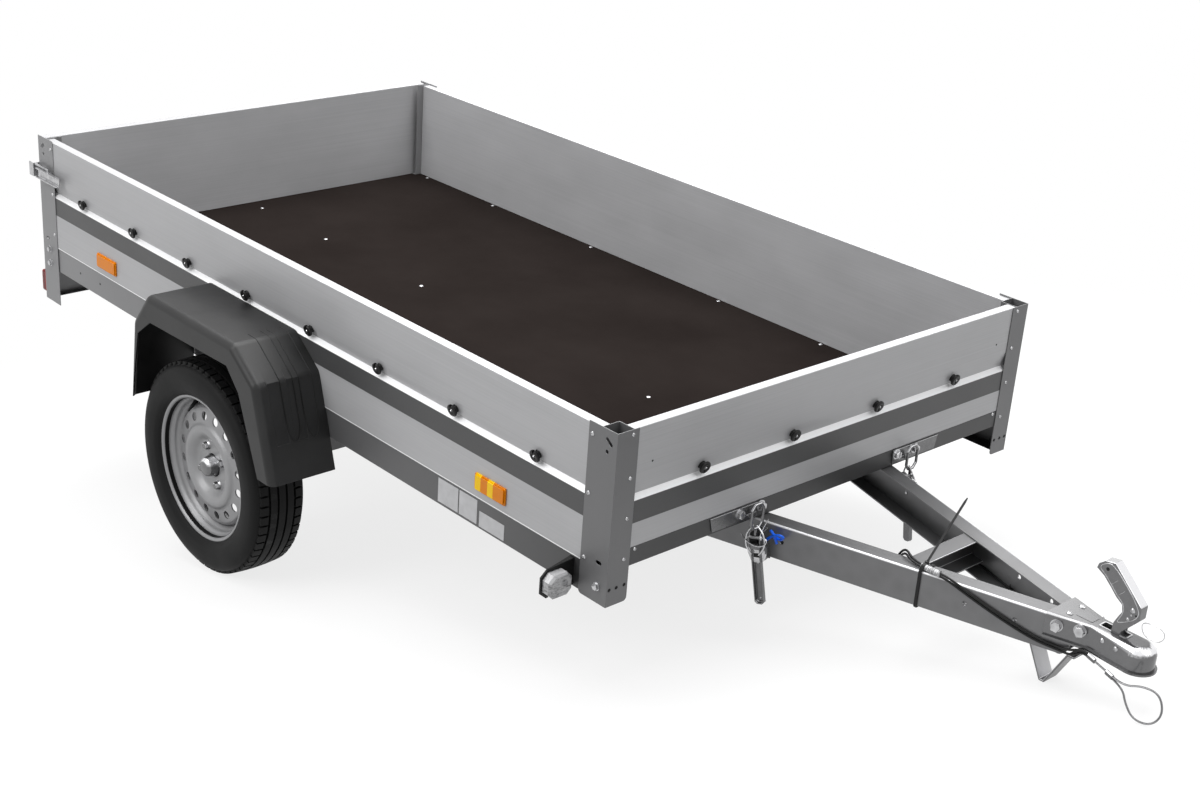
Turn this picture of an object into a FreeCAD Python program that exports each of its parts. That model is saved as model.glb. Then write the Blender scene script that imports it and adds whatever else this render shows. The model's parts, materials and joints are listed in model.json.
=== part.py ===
"""Utility trailer with one axle and a tipping load box, as a parametric document.

Lengths are millimetres. The trailer is modelled level: x points forward with 0 at the front
face of the front posts, y points left, z points up with 0 at the foot of the front posts.
At the end the whole trailer is pitched down onto its stand foot, as it parks, and the origin
is put under the middle of its outline, on the ground.
"""
import FreeCAD, Part
import math
import os
import Sketcher
from FreeCAD import Placement, Rotation, Vector

doc = FreeCAD.newDocument("trailer")

# The driving dimensions
DIMENSIONS = [
    # load box
    ("box_length", 2334),
    ("half_width", 650),
    ("post_sheet", 2),
    ("post_top", 376),
    ("post_side_flange", 81),
    ("post_front_flange", 57),
    ("post_tube", 45),
    ("rear_post_foot", -95),
    ("rear_post_return", 45),
    ("panel_thickness", 24),
    ("side_top", 372),
    ("side_bottom", 72),
    ("groove_foot", 218),
    ("groove_bottom", 228.4),
    ("groove_head", 265.6),
    ("groove_depth", 10),
    ("panel_lip", 1.5),
    ("front_top", 375),
    ("front_bottom", 115.5),
    ("frame_foot", 4),
    ("frame_sheet", 2),
    ("frame_flange", 35),
    ("crossmember_foot", 75.5),
    ("crossmember_depth", 40),
    ("floor_thickness", 9),
    ("lamp_board_foot", -90),
    ("lamp_board_inset", 2),
    ("floor_bearer_height", 36),
    ("floor_bearer_width", 40),
    ("floor_bearer_front_x", -1440),
    ("floor_bearer_rear_x", -1890),
    # things on the load box
    ("button_head_radius", 14),
    ("button_head_thickness", 5),
    ("button_bevel", 1.6),
    ("button_stem_radius", 8),
    ("button_stem_length", 9),
    ("button_height", 243.5),
    ("side_button_front_margin", 230),
    ("side_button_rear_margin", 236.4),
    ("side_button_count", 8),
    ("front_button_pitch", 269),
    ("front_button_count", 4),
    ("reflector_length", 99.5),
    ("reflector_height", 39.5),
    ("reflector_thickness", 7),
    ("reflector_foot", 92),
    ("front_reflector_x", -364),
    ("rear_reflector_x", -1974),
    ("marker_lamp_face_x", -75),
    ("marker_lamp_depth", 25),
    ("marker_lamp_reach", 49),
    ("marker_lamp_z", 30),
    ("marker_lamp_width", 60),
    ("marker_lamp_height", 52),
    ("marker_lamp_corner", 14),
    ("marker_arm_thickness", 4),
    ("marker_arm_length", 75),
    ("rear_lamp_length", 230),
    ("rear_lamp_height", 62),
    ("rear_lamp_depth", 35),
    ("rear_lamp_foot", -84),
    ("rear_lamp_inset", 5),
    # mudguards
    ("mudguard_reach", 172),
    ("mudguard_wall", 4),
    ("mudguard_round", 18),
    ("mudguard_bend", 30),
    ("mudguard_flute_depth", 1.6),
    ("mudguard_flute_width", 34),
    # running gear
    ("wheel_x", -1270.5),
    ("wheel_z", -165.2),
    ("wheel_reach", 87),
    ("tyre_radius", 266.5),
    ("tyre_half_width", 72.5),
    ("tyre_shoulder_height", 31),
    ("tyre_shoulder_width", 17),
    ("rim_radius", 182),
    ("rim_half_width", 60),
    ("rim_sheet", 3.5),
    ("rim_seat_radius", 172),
    ("bead_gap", 0.3),
    ("disc_sheet", 4),
    ("disc_centre_radius", 64),
    ("disc_ring_radius", 88),
    ("disc_dish", 8),
    ("hub_face_offset", 30),
    ("hub_bore_radius", 28.5),
    ("vent_circle", 124),
    ("vent_radius", 10.5),
    ("vent_count", 16),
    ("axle_beam_size", 60),
    ("axle_beam_inset", 50),
    ("swing_arm_length", 160),
    ("swing_arm_droop", 28),
    ("swing_arm_thickness", 32),
    ("swing_arm_radius", 28),
    ("stub_radius", 15),
    ("stub_clearance", 0.06),
    ("stub_reach", 16),
    ("hub_gap", 28),
    ("hub_drum_radius", 38),
    ("hub_flange_radius", 60),
    ("hub_flange", 10),
    ("hub_cap_height", 24),
    # drawbar
    ("arm_front_y", 223.3),
    ("arm_slope", 0.2935),
    ("arm_top", 72.2),
    ("arm_height", 80),
    ("arm_flange", 40),
    ("arm_sheet", 3),
    ("arm_nose_x", 655),
    ("arm_tail_x", -1156),
    ("arm_flange_tail_x", -1080),
    ("pivot_x", -1165),
    ("pivot_z", 32),
    ("pivot_pin_radius", 8),
    ("pivot_head", 9),
    ("pivot_head_radius", 13.8),
    ("pivot_clearance", 0.06),
    ("pivot_bush_radius", 17),
    ("pivot_bush_length", 36),
    ("pivot_plate", 4),
    ("side_gap", 1),
    ("brace_x", 295),
    ("brace_width", 40),
    ("brace_height", 60),
    ("buffer_gap", 0.3),
    ("foot_x", 604),
    ("foot_z", -92),
    ("foot_strip", 4),
    ("foot_flat", 6),
    ("foot_half_width", 22),
    ("foot_reach", 48),
    # coupling
    ("ball_x", 784),
    ("ball_z", 45),
    ("ball_radius", 25),
    ("cup_radius", 34),
    ("cup_foot", 24.5),
    ("cup_round", 20),
    ("cup_play", 0.4),
    ("coupling_top", 77),
    ("coupling_round", 7),
    ("coupling_lip", 5),
    ("coupling_lip_thickness", 4),
    ("coupling_sheet", 4),
    ("coupling_rear_x", 605),
    ("coupling_neck_x", 690),
    ("coupling_play", 0.3),
    ("coupling_ear_foot", 33),
    ("coupling_ear_x", 622),
    ("coupling_step_x", 650),
    ("slot_rear_x", 700),
    ("slot_front_x", 757),
    ("slot_half_width", 9),
    ("slot_play", 0.3),
    ("handle_half_width", 13),
    ("handle_sheet", 2.5),
    ("handle_round", 4),
    # tailgate
    ("tailgate_gap", 5),
    ("tailgate_bottom", 83),
    ("hinge_setback", 8),
    ("hinge_z", 70),
    ("hinge_pin_radius", 5),
    ("hinge_knuckle_radius", 8),
    ("hinge_leaf_half_length", 30),
    ("hinge_y", 400),
    ("hinge_sheet", 3),
    # latches
    ("latch_along", 14),
    ("latch_pin_z", 46),
    ("latch_lean", 11),
    ("latch_half_width", 14),
    ("latch_sheet", 2.5),
    ("latch_reach", 40),
    ("latch_pin_reach", 34.5),
    ("latch_pin_radius", 3.5),
    ("latch_play", 0.3),
    ("lever_half_width", 11),
    ("lever_depth", 10),
    ("lever_start", 16),
    ("lever_length", 134),
    ("lever_stand_off", 29),
    ("ring_x", 20),
    ("ring_y", -252.5),
    ("ring_z", 95.7),
    ("ring_half_width", 20),
    ("ring_half_height", 31),
    ("ring_wire", 6),
    ("latch_bracket_outer_y", -370),
    ("latch_bracket_inner_y", -212),
    ("latch_bracket_foot", 81),
    ("latch_bracket_head", 112.7),
    ("latch_bracket_sheet", 3),
    ("latch_hook_reach", 10),
    ("gate_latch_z", 278),
    ("gate_latch_rear_margin", 22),
    ("gate_latch_base_length", 52),
    ("gate_latch_stand_off", 12),
    ("gate_lever_length", 118),
    ("gate_lever_half_height", 13.5),
    ("gate_lever_depth", 11),
    ("gate_bail_wire", 5),
    ("gate_catch_half_height", 19),
    ("gate_catch_gap", 5),
    ("gate_catch_reach", 16),
    ("gate_catch_tail", 24),
    ("gate_catch_root", 42),
    # holes in the sheet
    ("foot_corner", 9),
    ("post_hole_radius", 4.2),
    ("arm_hole_radius", 5),
    ("arm_nose_round", 22),
    ("cable_width", 5),
    ("rope_width", 4.5),
    ("sleeve_half_height", 5.6),
    ("sleeve_half_width", 3.4),
    ("rear_sleeve_length", 20),
    ("front_sleeve_length", 18),
]

sheet = doc.addObject("Spreadsheet::Sheet", "Dims")
for line, (alias, value) in enumerate(DIMENSIONS, start=1):
    sheet.set("A%d" % line, alias)
    sheet.set("B%d" % line, str(value))
    sheet.setAlias("B%d" % line, alias)
doc.recompute()

parts = []
placed = []


def size(alias):
    """The present value of a driving dimension."""
    return float(getattr(sheet, alias))


def value_of(text):
    """The number that an expression on the sheet gives now."""
    return float(sheet.evalExpression(text))


def origin_plane(body, role):
    return [item for item in body.Origin.OriginFeatures if item.Role == role][0]


def new_body(name):
    body = doc.addObject("PartDesign::Body", name)
    body.Label = name
    body.AllowCompound = True
    return body


def outline(body, role, points, offset="0"):
    """A closed sketch through points, each corner bound to its two expressions."""
    sketch = body.newObject("Sketcher::SketchObject", body.Name + "_outline")
    sketch.AttachmentSupport = [(origin_plane(body, role), "")]
    sketch.MapMode = "FlatFace"
    sketch.setExpression("AttachmentOffset.Base.z", offset)
    corners = [Vector(value_of(first), value_of(second), 0) for first, second in points]
    count = len(corners)
    for index, corner in enumerate(corners):
        sketch.addGeometry(Part.LineSegment(corner, corners[(index + 1) % count]), False)
    for index in range(count):
        sketch.addConstraint(Sketcher.Constraint("Coincident", index, 2, (index + 1) % count, 1))
    for index, (first, second) in enumerate(points):
        bind(sketch, Sketcher.Constraint("DistanceX", -1, 1, index, 1, corners[index].x), first)
        bind(sketch, Sketcher.Constraint("DistanceY", -1, 1, index, 1, corners[index].y), second)
    return sketch


def bind(sketch, constraint, expression):
    number = sketch.addConstraint(constraint)
    sketch.setExpression("Constraints[%d]" % number, expression)


def polygon(body, radius, offset, sides):
    """A closed sketch with equal sides on the body's XY plane, about its origin."""
    points = []
    for index in range(sides):
        turn = 360 * (index + 0.5) / sides
        points.append(("%s * cos(%gdeg)" % (radius, turn), "%s * sin(%gdeg)" % (radius, turn)))
    return outline(body, "XY_Plane", points, offset=offset)


def circles(body, role, centres, offset="0"):
    """A sketch of circles, each given by two centre expressions and a radius expression."""
    sketch = body.newObject("Sketcher::SketchObject", body.Name + "_circles")
    sketch.AttachmentSupport = [(origin_plane(body, role), "")]
    sketch.MapMode = "FlatFace"
    sketch.setExpression("AttachmentOffset.Base.z", offset)
    for index, (first, second, radius) in enumerate(centres):
        centre = Vector(value_of(first), value_of(second), 0)
        sketch.addGeometry(Part.Circle(centre, Vector(0, 0, 1), value_of(radius)), False)
        bind(sketch, Sketcher.Constraint("DistanceX", -1, 1, index, 3, centre.x), first)
        bind(sketch, Sketcher.Constraint("DistanceY", -1, 1, index, 3, centre.y), second)
        bind(sketch, Sketcher.Constraint("Radius", index, value_of(radius)), radius)
    return sketch


def pad(body, sketch, length, reverse=False):
    feature = body.newObject("PartDesign::Pad", body.Name + "_pad")
    feature.Profile = sketch
    feature.setExpression("Length", length)
    feature.Reversed = reverse
    body.Tip = feature
    return feature


def pocket(body, sketch, length, reverse=False):
    feature = body.newObject("PartDesign::Pocket", body.Name + "_pocket")
    feature.Profile = sketch
    feature.setExpression("Length", length)
    feature.Reversed = reverse
    body.Tip = feature
    return feature


def revolve(body, sketch, axis_name="H_Axis", groove=False):
    kind = "PartDesign::Groove" if groove else "PartDesign::Revolution"
    feature = body.newObject(kind, body.Name + "_turned")
    feature.Profile = sketch
    feature.ReferenceAxis = (sketch, [axis_name])
    feature.Angle = 360
    body.Tip = feature
    return feature


def polar(body, feature, role, count):
    """Copies of a feature round one of the body's own axes."""
    pattern = body.newObject("PartDesign::PolarPattern", body.Name + "_round")
    pattern.Originals = [feature]
    axis = [item for item in body.Origin.OriginFeatures if item.Role == role][0]
    pattern.Axis = (axis, [""])
    pattern.Angle = 360
    pattern.setExpression("Occurrences", count)
    body.Tip = pattern
    return pattern


def repeat(body, feature, role, pitch, count, reverse=False):
    """Copies of a feature in a row along one of the body's own axes."""
    pattern = body.newObject("PartDesign::LinearPattern", body.Name + "_row")
    pattern.Originals = [feature]
    axis = [item for item in body.Origin.OriginFeatures if item.Role == role][0]
    pattern.Direction = (axis, [""])
    pattern.Reversed = reverse
    pattern.setExpression("Length", "%s * (%s - 1)" % (pitch, count))
    pattern.setExpression("Occurrences", count)
    body.Tip = pattern
    return pattern


def edges_where(shape, test):
    """Names of the edges whose middle and ends pass a test."""
    return ["Edge%d" % (index + 1) for index, edge in enumerate(shape.Edges) if test(edge)]


def faces_where(shape, test):
    return ["Face%d" % (index + 1) for index, face in enumerate(shape.Faces) if test(face)]


def fillet(body, feature, names, radius):
    rounding = body.newObject("PartDesign::Fillet", body.Name + "_round")
    rounding.Base = (feature, names)
    rounding.setExpression("Radius", radius)
    body.Tip = rounding
    doc.recompute()
    return rounding


def along_y(edge):
    """True for a straight edge that lies along y."""
    first, last = edge.Vertexes[0].Point, edge.Vertexes[-1].Point
    return abs(first.x - last.x) < 0.01 and abs(first.z - last.z) < 0.01 and abs(first.y - last.y) > 0.1


def along_z(edge):
    """True for a straight edge that lies along z."""
    first, last = edge.Vertexes[0].Point, edge.Vertexes[-1].Point
    return abs(first.x - last.x) < 0.01 and abs(first.y - last.y) < 0.01 and abs(first.z - last.z) > 0.1


def put(item, place=None):
    """Notes a piece's own placement in the level trailer, to be parked at the end."""
    placed.append((item, place or Placement()))
    return item


def keep(item, place=None):
    """Lists a finished sub-part with its placement in the level trailer."""
    parts.append(put(item, place))
    return item


def mirrored(source, name):
    twin = doc.addObject("Part::Mirroring", name)
    twin.Label = name
    twin.Source = source
    twin.Base = Vector(0, 0, 0)
    twin.Normal = Vector(0, 1, 0)
    return twin


def mirror_twin(source, name):
    """The same sub-part on the other side of the trailer's middle."""
    twin = mirrored(source, name)
    parts.append(twin)
    return twin


def both_sides(source, place=None, name=""):
    """One sub-part of like pieces that don't touch: those given, and the same across the middle."""
    put(source, place)
    pair = doc.addObject("Part::Compound", name)
    pair.Label = name
    pair.Links = [source, mirrored(source, source.Name + "_twin")]
    parts.append(pair)
    return pair


# Places that several sub-parts share
SIDE_FACE = "-(Dims.half_width - Dims.post_sheet)"
SIDE_INNER = "-(Dims.half_width - Dims.post_sheet - Dims.panel_thickness)"
FRAME_FACE = "-(Dims.half_width - Dims.post_sheet - Dims.panel_lip)"
FLOOR_UNDER = "Dims.crossmember_foot + Dims.frame_sheet"
FLOOR_TOP = "Dims.crossmember_foot + Dims.frame_sheet + Dims.floor_thickness"
TUBE_INNER_X = "-Dims.post_tube"
TUBE_INNER_Y = "-(Dims.half_width - Dims.post_tube)"
REAR_X = "-Dims.box_length"
REAR_STOP_X = "-Dims.box_length + Dims.post_tube"
FRONT_FACE_X = "-Dims.post_sheet"
FRONT_INNER_X = "-(Dims.post_sheet + Dims.panel_thickness)"
WHEEL_Y = "(Dims.half_width + Dims.wheel_reach)"
BEAM_END = "(Dims.half_width - Dims.axle_beam_inset)"
GUARD_Y = "(Dims.half_width + Dims.mudguard_reach)"
PIVOT_Y = "(Dims.arm_front_y - Dims.arm_slope * Dims.pivot_x)"
BUTTON_PITCH = ("((Dims.box_length - Dims.side_button_front_margin - Dims.side_button_rear_margin)"
                " / (Dims.side_button_count - 1))")


# Load box: panels
def side_panel():
    body = new_body("side_panel_right")
    face, inner = SIDE_FACE, SIDE_INNER
    sketch = outline(body, "YZ_Plane", [
        (face, "Dims.side_bottom"),
        (face, "Dims.groove_foot"),
        (face + " + Dims.groove_depth", "Dims.groove_bottom"),
        (face, "Dims.groove_head"),
        (face, "Dims.side_top"),
        (inner, "Dims.side_top"),
        (inner, FLOOR_UNDER),
        (FRAME_FACE, FLOOR_UNDER),
        (FRAME_FACE, "Dims.side_bottom"),
    ], offset=TUBE_INNER_X)
    pad(body, sketch, "Dims.box_length - 2 * Dims.post_tube", reverse=True)
    keep(body)
    mirror_twin(body, "side_panel_left")


def front_panel():
    body = new_body("front_panel")
    face, inner = FRONT_FACE_X, FRONT_INNER_X
    drop = "Dims.groove_foot"
    sketch = outline(body, "XZ_Plane", [
        (face, "Dims.front_bottom"),
        (face, drop),
        (face + " - Dims.groove_depth", "Dims.groove_bottom"),
        (face, "Dims.groove_head"),
        (face, "Dims.front_top"),
        (inner, "Dims.front_top"),
        (inner, "Dims.front_bottom"),
    ], offset=TUBE_INNER_Y)
    pad(body, sketch, "2 * (Dims.half_width - Dims.post_tube)")
    keep(body)


def floor():
    body = new_body("floor")
    rear = "-Dims.box_length + Dims.panel_thickness + Dims.tailgate_gap"
    front = "-(Dims.post_sheet + Dims.frame_sheet + Dims.side_gap)"
    tube_x, tube_y = "-(Dims.post_tube)", "(Dims.half_width - Dims.post_tube)"
    side = "(Dims.half_width - Dims.post_sheet - Dims.panel_thickness)"
    stop = "(Dims.half_width - Dims.post_sheet - Dims.rear_post_return - Dims.side_gap)"
    sketch = outline(body, "XY_Plane", [
        (rear, "-" + stop),
        (REAR_STOP_X, "-" + stop),
        (REAR_STOP_X, "-" + side),
        (tube_x, "-" + side),
        (tube_x, "-" + tube_y),
        (front, "-" + tube_y),
        (front, tube_y),
        (tube_x, tube_y),
        (tube_x, side),
        (REAR_STOP_X, side),
        (REAR_STOP_X, stop),
        (rear, stop),
    ], offset=FLOOR_UNDER)
    pad(body, sketch, "Dims.floor_thickness")
    keep(body)


# Shapes that several sheets share
def octagon(body, role, across, height, radius, offset="0"):
    """A closed sketch of an eight-sided hole."""
    points = []
    for index in range(8):
        turn = 45 * index + 22.5
        points.append(("%s + %s * cos(%gdeg)" % (across, radius, turn),
                       "%s + %s * sin(%gdeg)" % (height, radius, turn)))
    return outline(body, role, points, offset=offset)


def round_corner(across, height, away, up, radius):
    """What a rounded corner leaves out: a square corner less an arc, as a plan with four chords.

    away and up are the directions, as signs, from the corner into the sheet.
    """
    points = [("%s - %d" % (across, away), "%s - %d" % (height, up)),
              ("%s + %d * %s" % (across, away, radius), "%s - %d" % (height, up))]
    for turn in (0, 22.5, 45, 67.5, 90):
        points.append(("%s + %d * %s * (1 - sin(%gdeg))" % (across, away, radius, turn),
                       "%s + %d * %s * (1 - cos(%gdeg))" % (height, up, radius, turn)))
    points.append(("%s - %d" % (across, away), "%s + %d * %s" % (height, up, radius)))
    return points


# Holes in a post's side flange: distance in from the corner, down from the top, half length,
# and tilt in degrees
POST_HOLES = [(23, 25.5, 7, 37), (27, 47, 0, 0), (28, 287, 4, 0)]


def post_holes(body, edge, inward):
    for along, down, half_length, tilt in POST_HOLES:
        points = []
        lean = math.radians(tilt)
        for index in range(8):
            turn = math.radians(45 * index + 22.5)
            stretch = half_length if math.cos(turn) > 0 else -half_length
            radius = size("post_hole_radius")
            run, rise = radius * math.cos(turn) + stretch, radius * math.sin(turn)
            across = along + run * math.cos(lean) - rise * math.sin(lean)
            height = run * math.sin(lean) + rise * math.cos(lean)
            points.append(("%s + %g" % (edge, inward * across), "Dims.post_top - %g + %g" % (down, height)))
        pocket(body, outline(body, "XZ_Plane", points, offset="Dims.half_width + 5"), "15")


# Load box: frame and posts
def side_frame():
    body = new_body("side_frame_right")
    face = FRAME_FACE
    sketch = outline(body, "YZ_Plane", [
        (face, "Dims.frame_foot"),
        (face, FLOOR_UNDER),
        (face + " + Dims.frame_flange", FLOOR_UNDER),
        (face + " + Dims.frame_flange", FLOOR_UNDER + " - Dims.frame_sheet"),
        (face + " + Dims.frame_sheet", FLOOR_UNDER + " - Dims.frame_sheet"),
        (face + " + Dims.frame_sheet", "Dims.frame_foot + Dims.frame_sheet"),
        (face + " + Dims.frame_flange", "Dims.frame_foot + Dims.frame_sheet"),
        (face + " + Dims.frame_flange", "Dims.frame_foot"),
    ], offset=FRONT_FACE_X)
    pad(body, sketch, "Dims.box_length - Dims.post_sheet - Dims.post_tube", reverse=True)
    keep(body)
    mirror_twin(body, "side_frame_left")


def front_crossmember():
    body = new_body("front_crossmember")
    face = FRONT_FACE_X
    deep = "-(Dims.post_sheet + Dims.crossmember_depth)"
    thick = "-(Dims.post_sheet + Dims.frame_sheet)"
    sketch = outline(body, "XZ_Plane", [
        (face, "Dims.crossmember_foot"),
        (face, "Dims.front_bottom"),
        (deep, "Dims.front_bottom"),
        (deep, "Dims.front_bottom - Dims.frame_sheet"),
        (thick, "Dims.front_bottom - Dims.frame_sheet"),
        (thick, FLOOR_UNDER),
        (deep, FLOOR_UNDER),
        (deep, "Dims.crossmember_foot"),
    ], offset=TUBE_INNER_Y)
    pad(body, sketch, "2 * (Dims.half_width - Dims.post_tube)")
    keep(body)


def rear_lamp_board():
    body = new_body("rear_lamp_board")
    back = "-Dims.box_length + Dims.lamp_board_inset"
    thick = back + " + Dims.frame_sheet"
    deep = REAR_STOP_X
    lip = back + " + 20"
    sketch = outline(body, "XZ_Plane", [
        (back, "Dims.lamp_board_foot"),
        (back, FLOOR_UNDER),
        (deep, FLOOR_UNDER),
        (deep, FLOOR_UNDER + " - Dims.frame_sheet"),
        (thick, FLOOR_UNDER + " - Dims.frame_sheet"),
        (thick, "Dims.lamp_board_foot + Dims.frame_sheet"),
        (lip, "Dims.lamp_board_foot + Dims.frame_sheet"),
        (lip, "Dims.lamp_board_foot"),
    ], offset=SIDE_FACE)
    pad(body, sketch, "2 * (Dims.half_width - Dims.post_sheet)")
    keep(body)


def floor_bearers():
    body = new_body("floor_bearers")
    side = FRAME_FACE + " + Dims.frame_flange"
    top = FLOOR_UNDER
    for place in ("Dims.floor_bearer_front_x", "Dims.floor_bearer_rear_x"):
        front = place
        back = "%s - Dims.floor_bearer_width" % place
        foot = top + " - Dims.floor_bearer_height"
        sketch = outline(body, "XZ_Plane", [
            (front, foot),
            (front, top),
            (back, top),
            (back, top + " - Dims.frame_sheet"),
            (front + " - Dims.frame_sheet", top + " - Dims.frame_sheet"),
            (front + " - Dims.frame_sheet", foot + " + Dims.frame_sheet"),
            (back, foot + " + Dims.frame_sheet"),
            (back, foot),
        ], offset=side)
        pad(body, sketch, "2 * (Dims.half_width - Dims.post_sheet - Dims.panel_lip - Dims.frame_flange)")
    keep(body)


def front_post():
    """An outer angle over both panels, and the inner angle that closes it to a tube."""
    body = new_body("front_post_right")
    out_y = "-Dims.half_width"
    in_y = "-(Dims.half_width - Dims.post_sheet)"
    sketch = outline(body, "XY_Plane", [
        ("0", out_y),
        ("-Dims.post_side_flange", out_y),
        ("-Dims.post_side_flange", in_y),
        ("-Dims.post_sheet", in_y),
        ("-Dims.post_sheet", "-(Dims.half_width - Dims.post_front_flange)"),
        ("0", "-(Dims.half_width - Dims.post_front_flange)"),
    ])
    pad(body, sketch, "Dims.post_top")
    far_x = TUBE_INNER_X
    near_x = "-(Dims.post_tube - Dims.post_sheet)"
    far_y = TUBE_INNER_Y
    near_y = "-(Dims.half_width - Dims.post_tube + Dims.post_sheet)"
    inner = outline(body, "XY_Plane", [
        (near_x, in_y),
        (far_x, in_y),
        (far_x, far_y),
        ("-Dims.post_sheet", far_y),
        ("-Dims.post_sheet", near_y),
        (near_x, near_y),
    ], offset=FLOOR_UNDER)
    pad(body, inner, "Dims.post_top - (%s)" % FLOOR_UNDER)
    side_corner = round_corner("-Dims.post_side_flange", "0", 1, 1, "Dims.foot_corner")
    pocket(body, outline(body, "XZ_Plane", side_corner, offset="Dims.half_width + 10"), "20")
    front_edge = "-(Dims.half_width - Dims.post_front_flange)"
    front_corner = round_corner(front_edge, "0", -1, 1, "Dims.foot_corner")
    pocket(body, outline(body, "YZ_Plane", front_corner, offset="10"), "20")
    post_holes(body, "0", -1)
    for along in (8, 27, 48):
        hole = octagon(body, "YZ_Plane", "-Dims.half_width + %d" % along, "Dims.post_top * 0.1",
                       "Dims.post_hole_radius", offset="5")
        pocket(body, hole, "12")
    keep(body)
    mirror_twin(body, "front_post_left")


def rear_post():
    """A side flange that runs down past the lamp board, with a return at the panel's end."""
    body = new_body("rear_post_right")
    out_y = "-Dims.half_width"
    in_y = "-(Dims.half_width - Dims.post_sheet)"
    front = "-Dims.box_length + Dims.post_side_flange"
    sketch = outline(body, "XY_Plane", [
        (REAR_X, out_y),
        (REAR_X, in_y),
        (front, in_y),
        (front, out_y),
    ], offset="Dims.rear_post_foot")
    pad(body, sketch, "Dims.post_top - Dims.rear_post_foot")
    back = REAR_STOP_X + " - Dims.post_sheet"
    inner = outline(body, "XY_Plane", [
        (REAR_STOP_X, in_y),
        (back, in_y),
        (back, in_y + " + Dims.rear_post_return"),
        (REAR_STOP_X, in_y + " + Dims.rear_post_return"),
    ], offset=FLOOR_UNDER)
    pad(body, inner, "Dims.post_top - (%s)" % FLOOR_UNDER)
    post_holes(body, REAR_X, 1)
    keep(body)
    mirror_twin(body, "rear_post_left")


# Things fastened to the load box
def groove_lean():
    """How far the groove's upper flank leans, in degrees."""
    rise = size("groove_head") - size("groove_bottom")
    return math.degrees(math.atan2(size("groove_depth"), rise))


def button_row(name, count, pitch, place, turn):
    """Tarpaulin buttons in a row: each is a stem and a faceted head with a bevelled rim."""
    body = new_body(name)
    stem = polygon(body, "Dims.button_stem_radius", "0", 6)
    shank = pad(body, stem, "Dims.button_stem_length")
    head = polygon(body, "Dims.button_head_radius", "Dims.button_stem_length", 12)
    plate = pad(body, head, "Dims.button_head_thickness")
    doc.recompute()
    top = size("button_stem_length") + size("button_head_thickness")

    def rim(edge):
        box = edge.BoundBox
        return abs(box.ZMin - top) < 0.01 and abs(box.ZMax - top) < 0.01

    bevel = body.newObject("PartDesign::Chamfer", name + "_bevel")
    bevel.Base = (plate, edges_where(plate.Shape, rim))
    bevel.setExpression("Size", "Dims.button_bevel")
    body.Tip = bevel
    doc.recompute()
    row = repeat(body, shank, "X_Axis", pitch, count)
    row.Originals = [shank, plate, bevel]
    return body, Placement(place, turn)


def groove_point(face, inward):
    """Where a button's axis meets the groove's upper flank: distance across, and height."""
    height = size("button_height")
    rise = size("groove_head") - size("groove_bottom")
    depth = size("groove_depth") * (size("groove_head") - height) / rise
    return face + inward * depth, height


def buttons():
    lean = groove_lean()
    side_y, height = groove_point(-(size("half_width") - size("post_sheet")), 1)
    # the stem's axis points outwards and down by the flank's lean
    turn = Rotation(Vector(1, 0, 0), 90 + lean)
    start = Vector(size("side_button_rear_margin") - size("box_length"), side_y, height)
    both_sides(*button_row("side_button_row", "Dims.side_button_count", BUTTON_PITCH, start, turn),
               name="tarp_buttons_side")
    front_x, height = groove_point(-size("post_sheet"), -1)
    reach = size("front_button_pitch") * (size("front_button_count") - 1) / 2
    turn = Rotation(Vector(0, 0, 1), 90).multiply(Rotation(Vector(1, 0, 0), 90 + lean))
    start = Vector(front_x, -reach, height)
    keep(*button_row("tarp_buttons_front", "Dims.front_button_count", "Dims.front_button_pitch", start, turn))


def reflectors():
    body = new_body("reflector_row")
    for place in ("Dims.front_reflector_x", "Dims.rear_reflector_x"):
        sketch = outline(body, "XZ_Plane", [
            (place + " - Dims.reflector_length / 2", "Dims.reflector_foot"),
            (place + " + Dims.reflector_length / 2", "Dims.reflector_foot"),
            (place + " + Dims.reflector_length / 2", "Dims.reflector_foot + Dims.reflector_height"),
            (place + " - Dims.reflector_length / 2", "Dims.reflector_foot + Dims.reflector_height"),
        ], offset="Dims.half_width - Dims.post_sheet")
        pad(body, sketch, "Dims.reflector_thickness")
    both_sides(body, name="reflectors")


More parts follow.
